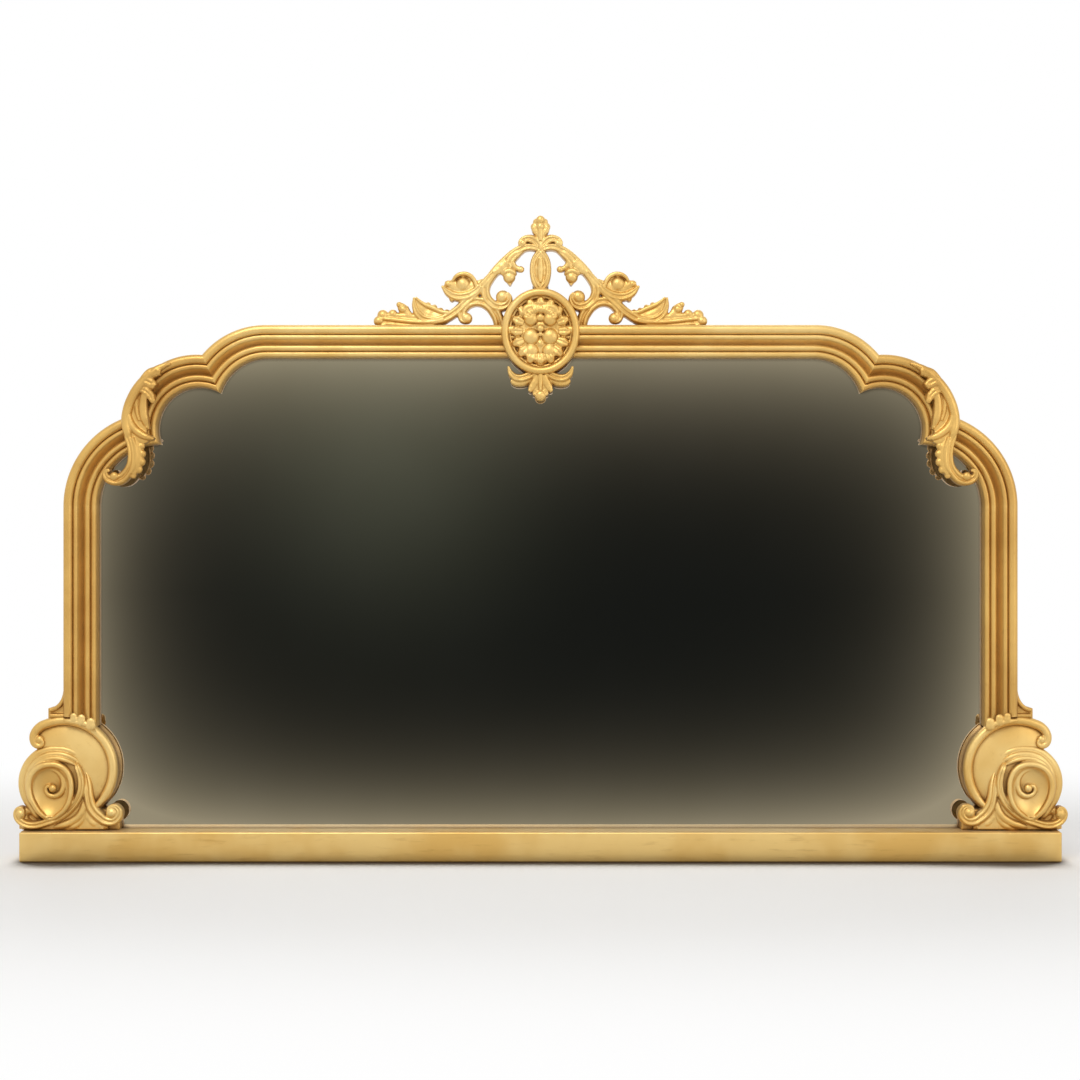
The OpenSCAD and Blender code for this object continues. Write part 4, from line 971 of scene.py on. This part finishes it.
def shoulderSpray():
    place = (*spray["centre"], spray["relief"])
    strands = [
        # outer roll, over the arch's outer bead, which turns in to a lip at the cusp
        ("roll", 0, [(38, 97, 2, -7), (47, 94, 4, -3.5), (60, 86.5, 6.2), (74, 75, 7.2), (86.5, 61, 7.5),
            (96, 45, 7.5), (102.4, 27.6, 7.4), (105, 9.3, 7), (102, -8, 6.4), (96, -22, 2.5, -8)]),
        ("roll", -1, [(102, 32, 3), (101, 16, 5.5), (95, 2, 6.2), (84, -8, 6), (73, -13.5, 5),
            (63, -16, 1.8, -6)]),
        ("petal", -5, [(98, -6, 6), (88, -15, 6), (79, -19, 5), (72, -18, 3)]),
        # hollow of the leaf
        ("trough", -4, [(78, 72, 6), (86, 60, 9), (91, 42, 10), (90, 24, 10), (84, 9, 9), (77, -3, 6)]),
        ("roll", -6, [(86, 56, 2), (89, 42, 3), (89, 26, 3), (85, 11, 2)]),
        ("petal", -3, [(74, 62, 4), (78, 46, 5.5), (79.5, 30, 6), (77, 14, 5.5), (72, -2, 2, -9)]),
        # blunt tips that lap over the beads
        ("leaf", 0, [(86, 65, 2.5, -6), (78, 73.5, 5.5), (69, 81, 7.8), (60.5, 84, 8), (52, 84.5, 5.5)]),
        ("leaf", 0.5, [(86, 69, 4, -4), (75, 70.5, 8.2), (66, 66, 8), (60, 61, 5)]),
        ("leaf", -1, [(84, 59, 4, -4), (75, 55, 7.4), (68, 48, 6.6), (65, 41, 4)]),
        # pierced loop
        ("flute", -1, [(106, 4, 3), (102, -14, 5), (98, -28, 5), (96.5, -42, 5.4), (98, -56, 6.4),
            (104.5, -68.5, 8), (114.5, -76.5, 9), (126, -78, 7.5), (134.5, -72, 5.6), (134, -64.5, 3.6),
            (128, -63.5, 2)]),
        # serrated leaf beside the loop
        ("petal", -4, [(94, -16, 4), (89, -28, 6.5), (88, -42, 7), (90, -56, 7), (96, -68, 6)]),
        ("roll", -2, [(95, -14, 2.4), (91, -28, 3.4), (90, -42, 3.6), (92, -56, 3.4), (98, -68, 2.4)]),
    ]
    blade = plateMesh([(66, 86), (84, 70), (96, 48), (103, 24), (104, 4), (96, -14), (80, -18), (74, -6),
                       (77, 14), (78, 32), (74, 50), (66, 66)], spray["blade"], spray["centre"])
    balls = [(122, -72.5, 6.8, 0.5), (56, 85.5, 4.6, 0), (64, 64, 4.4, 0), (82.5, -27, 6, -5),
             (81.5, -38.5, 6.6, -5), (82.5, -50.5, 6.8, -5), (86.5, -62, 6.4, -5), (94, -71, 5, -5),
             (64.5, 41, 4.6, -1.5)]
    carvedPair("shoulder_spray", spray["back"],
               strandMesh(strands, place) + ballMesh(balls, place) + [blade], giltSpray)


shoulderSpray()
print("sprays carved")


# studio

studio = {
    "camera": (-0.00075, -3.534, 0.48225), "sensor": 36, "frameWidth": 1.62, "framePlane": -0.034,
    # the contact reach and ends place a painted contact shadow on the floor
    "floor": 0.94, "shadowReach": (0.5, 1.6), "contact_shadow": 0.15, "contact_shadow_ends": (0.8, 0.77),
    "room": {"left": -0.189, "right": 0.189, "top": 0.0777, "bottom": -0.1234,
             "dark": (0.0100, 0.0112, 0.0106), "wall": (1.0, 0.875, 0.62), "haze": (0.062, 0.066, 0.047),
             "glow": {"left": (0.21, 0.0132), "right": (0.27, 0.0150), "top": (0.33, 0.0178),
                      "bottom": (0.36, 0.0144)},
             "corner": (0.40, 0.034), "brightest": 0.42, "hazeAt": (-0.066, 0.043),
             "hazeSize": (0.040, 0.044)},
    "key": {"at": (-0.7, -2.7, 3.1), "size": 1.8, "watts": 52},
    "fill": {"at": (2.9, -2.9, 1.7), "size": 2.2, "watts": 22},
    "back": {"at": (0.0, 2.6, 2.4), "size": 2.4, "watts": 30},
}


def makeCamera():
    s = studio
    clearSelection()
    bpy.ops.object.camera_add(location=s["camera"], rotation=(math.pi / 2, 0, 0))
    camera = bpy.context.active_object
    camera.name = "photo_camera"
    camera.data.sensor_width = s["sensor"]
    camera.data.lens = s["sensor"] * (s["framePlane"] - s["camera"][1]) / s["frameWidth"]
    camera.data.clip_end = 50
    bpy.context.scene.camera = camera


def softbox(name, at, size, watts, target=(0, 0, 0.5)):
    clearSelection()
    bpy.ops.object.light_add(type="AREA", location=at)
    lamp = bpy.context.active_object
    lamp.name = name
    lamp.data.shape = "SQUARE"
    lamp.data.size = size
    lamp.data.energy = watts
    lamp.rotation_euler = (Vector(target) - Vector(at)).to_track_quat("-Z", "Y").to_euler()


def makeWorld():
    world = bpy.data.worlds.new("studio_world")
    bpy.context.scene.world = world
    world.use_nodes = True
    tree = world.node_tree
    seen, mirrored = rayKinds(tree)
    soft = node(tree, "ShaderNodeBackground", {"Color": (1, 0.985, 0.96, 1), "Strength": 0.55})
    pale = node(tree, "ShaderNodeBackground", {"Color": (1, 1, 1, 1), "Strength": 1.0})
    dim = node(tree, "ShaderNodeBackground", {"Color": dimRoom(tree), "Strength": 1.0})
    mixed = node(tree, "ShaderNodeMixShader", {0: seen, 1: soft, 2: pale})
    mixed = node(tree, "ShaderNodeMixShader", {0: mirrored, 1: mixed, 2: dim})
    toOutput(tree, mixed)


# what a mirror sees in front of it: a dark room whose walls, floor and ceiling are lit near its edges
def dimRoom(tree):
    x, y, z = axes(tree, node(tree, "ShaderNodeTexCoord", output="Generated"))
    ahead = (0 - y).math("MAXIMUM", 0.05)
    across, up = x / ahead, z / ahead
    r = studio["room"]
    far = {"left": across - r["left"], "right": r["right"] - across, "top": r["top"] - up,
           "bottom": up - r["bottom"]}
    far = {side: distance.math("MAXIMUM", 0.0) for side, distance in far.items()}

    def fading(distance, strength, reach):
        return (distance * (-1 / reach)).math("EXPONENT") * strength
    glow = sum(fading(far[side], *falloff) for side, falloff in r["glow"].items())
    strength, reach = r["corner"]
    sides, ends = (fading(far[a].math("MINIMUM", far[b]), 1, reach)
                   for a, b in (("left", "right"), ("top", "bottom")))
    glow = (glow + sides * ends * strength).math("MINIMUM", r["brightest"])
    u = (across - r["hazeAt"][0]) / r["hazeSize"][0]
    v = (up - r["hazeAt"][1]) / r["hazeSize"][1]
    haze = ((u * u + v * v) * -0.5).math("EXPONENT")
    colour = node(tree, "ShaderNodeCombineXYZ", dict(enumerate(r["dark"])))
    for tint, amount in ((r["wall"], glow), (r["haze"], haze)):
        tint = node(tree, "ShaderNodeCombineXYZ", dict(enumerate(tint)))
        tint = node(tree, "ShaderNodeVectorMath", {0: tint, "Scale": amount}, operation="SCALE")
        colour = node(tree, "ShaderNodeVectorMath", {0: colour, 1: tint}, operation="ADD")
    return colour


def makeFloor():
    clearSelection()
    bpy.ops.mesh.primitive_plane_add(size=30, location=(0, 0, 0))
    floor = bpy.context.active_object
    floor.name = "studio_floor"
    material, tree, shader, place = newMaterial("studio_floor")
    pale = studio["floor"]
    tone = blend(tree, noise(tree, place, 2.0), (pale,) * 3, (pale - 0.01,) * 3)
    # painted contact shadow along the plinth, in front and behind but not past its ends
    within = axes(tree, place)[0].math("ABSOLUTE").between(*studio["contact_shadow_ends"])
    contact_shadow = occlusion(tree, studio["contact_shadow"], 8).between(0.86, 0.73) * within
    wire(tree, shader, Base_Color=blend(tree, contact_shadow, tone, srgb(58, 44, 30)), Roughness=0.9)
    seen, mirrored = rayKinds(tree)
    far = node(tree, "ShaderNodeVectorMath",
               {0: node(tree, "ShaderNodeMapping", {"Vector": place, "Scale": (0.55, 1, 0)})}, "Value",
               operation="LENGTH")
    white = node(tree, "ShaderNodeEmission", {"Color": (1, 1, 1, 1), "Strength": 1.0})
    clear = node(tree, "ShaderNodeBsdfTransparent")
    paled = seen * far.between(*studio["shadowReach"])
    mixed = node(tree, "ShaderNodeMixShader", {0: paled, 1: Socket(tree, shader.outputs[0]), 2: white})
    mixed = node(tree, "ShaderNodeMixShader", {0: mirrored, 1: mixed, 2: clear})
    toOutput(tree, mixed)
    coat(floor, material)


makeCamera()
makeWorld()
makeFloor()
for name in ("key", "fill", "back"):
    softbox("softbox_" + name, **studio[name])
bpy.context.scene.view_settings.view_transform = "Standard"
print("studio made")
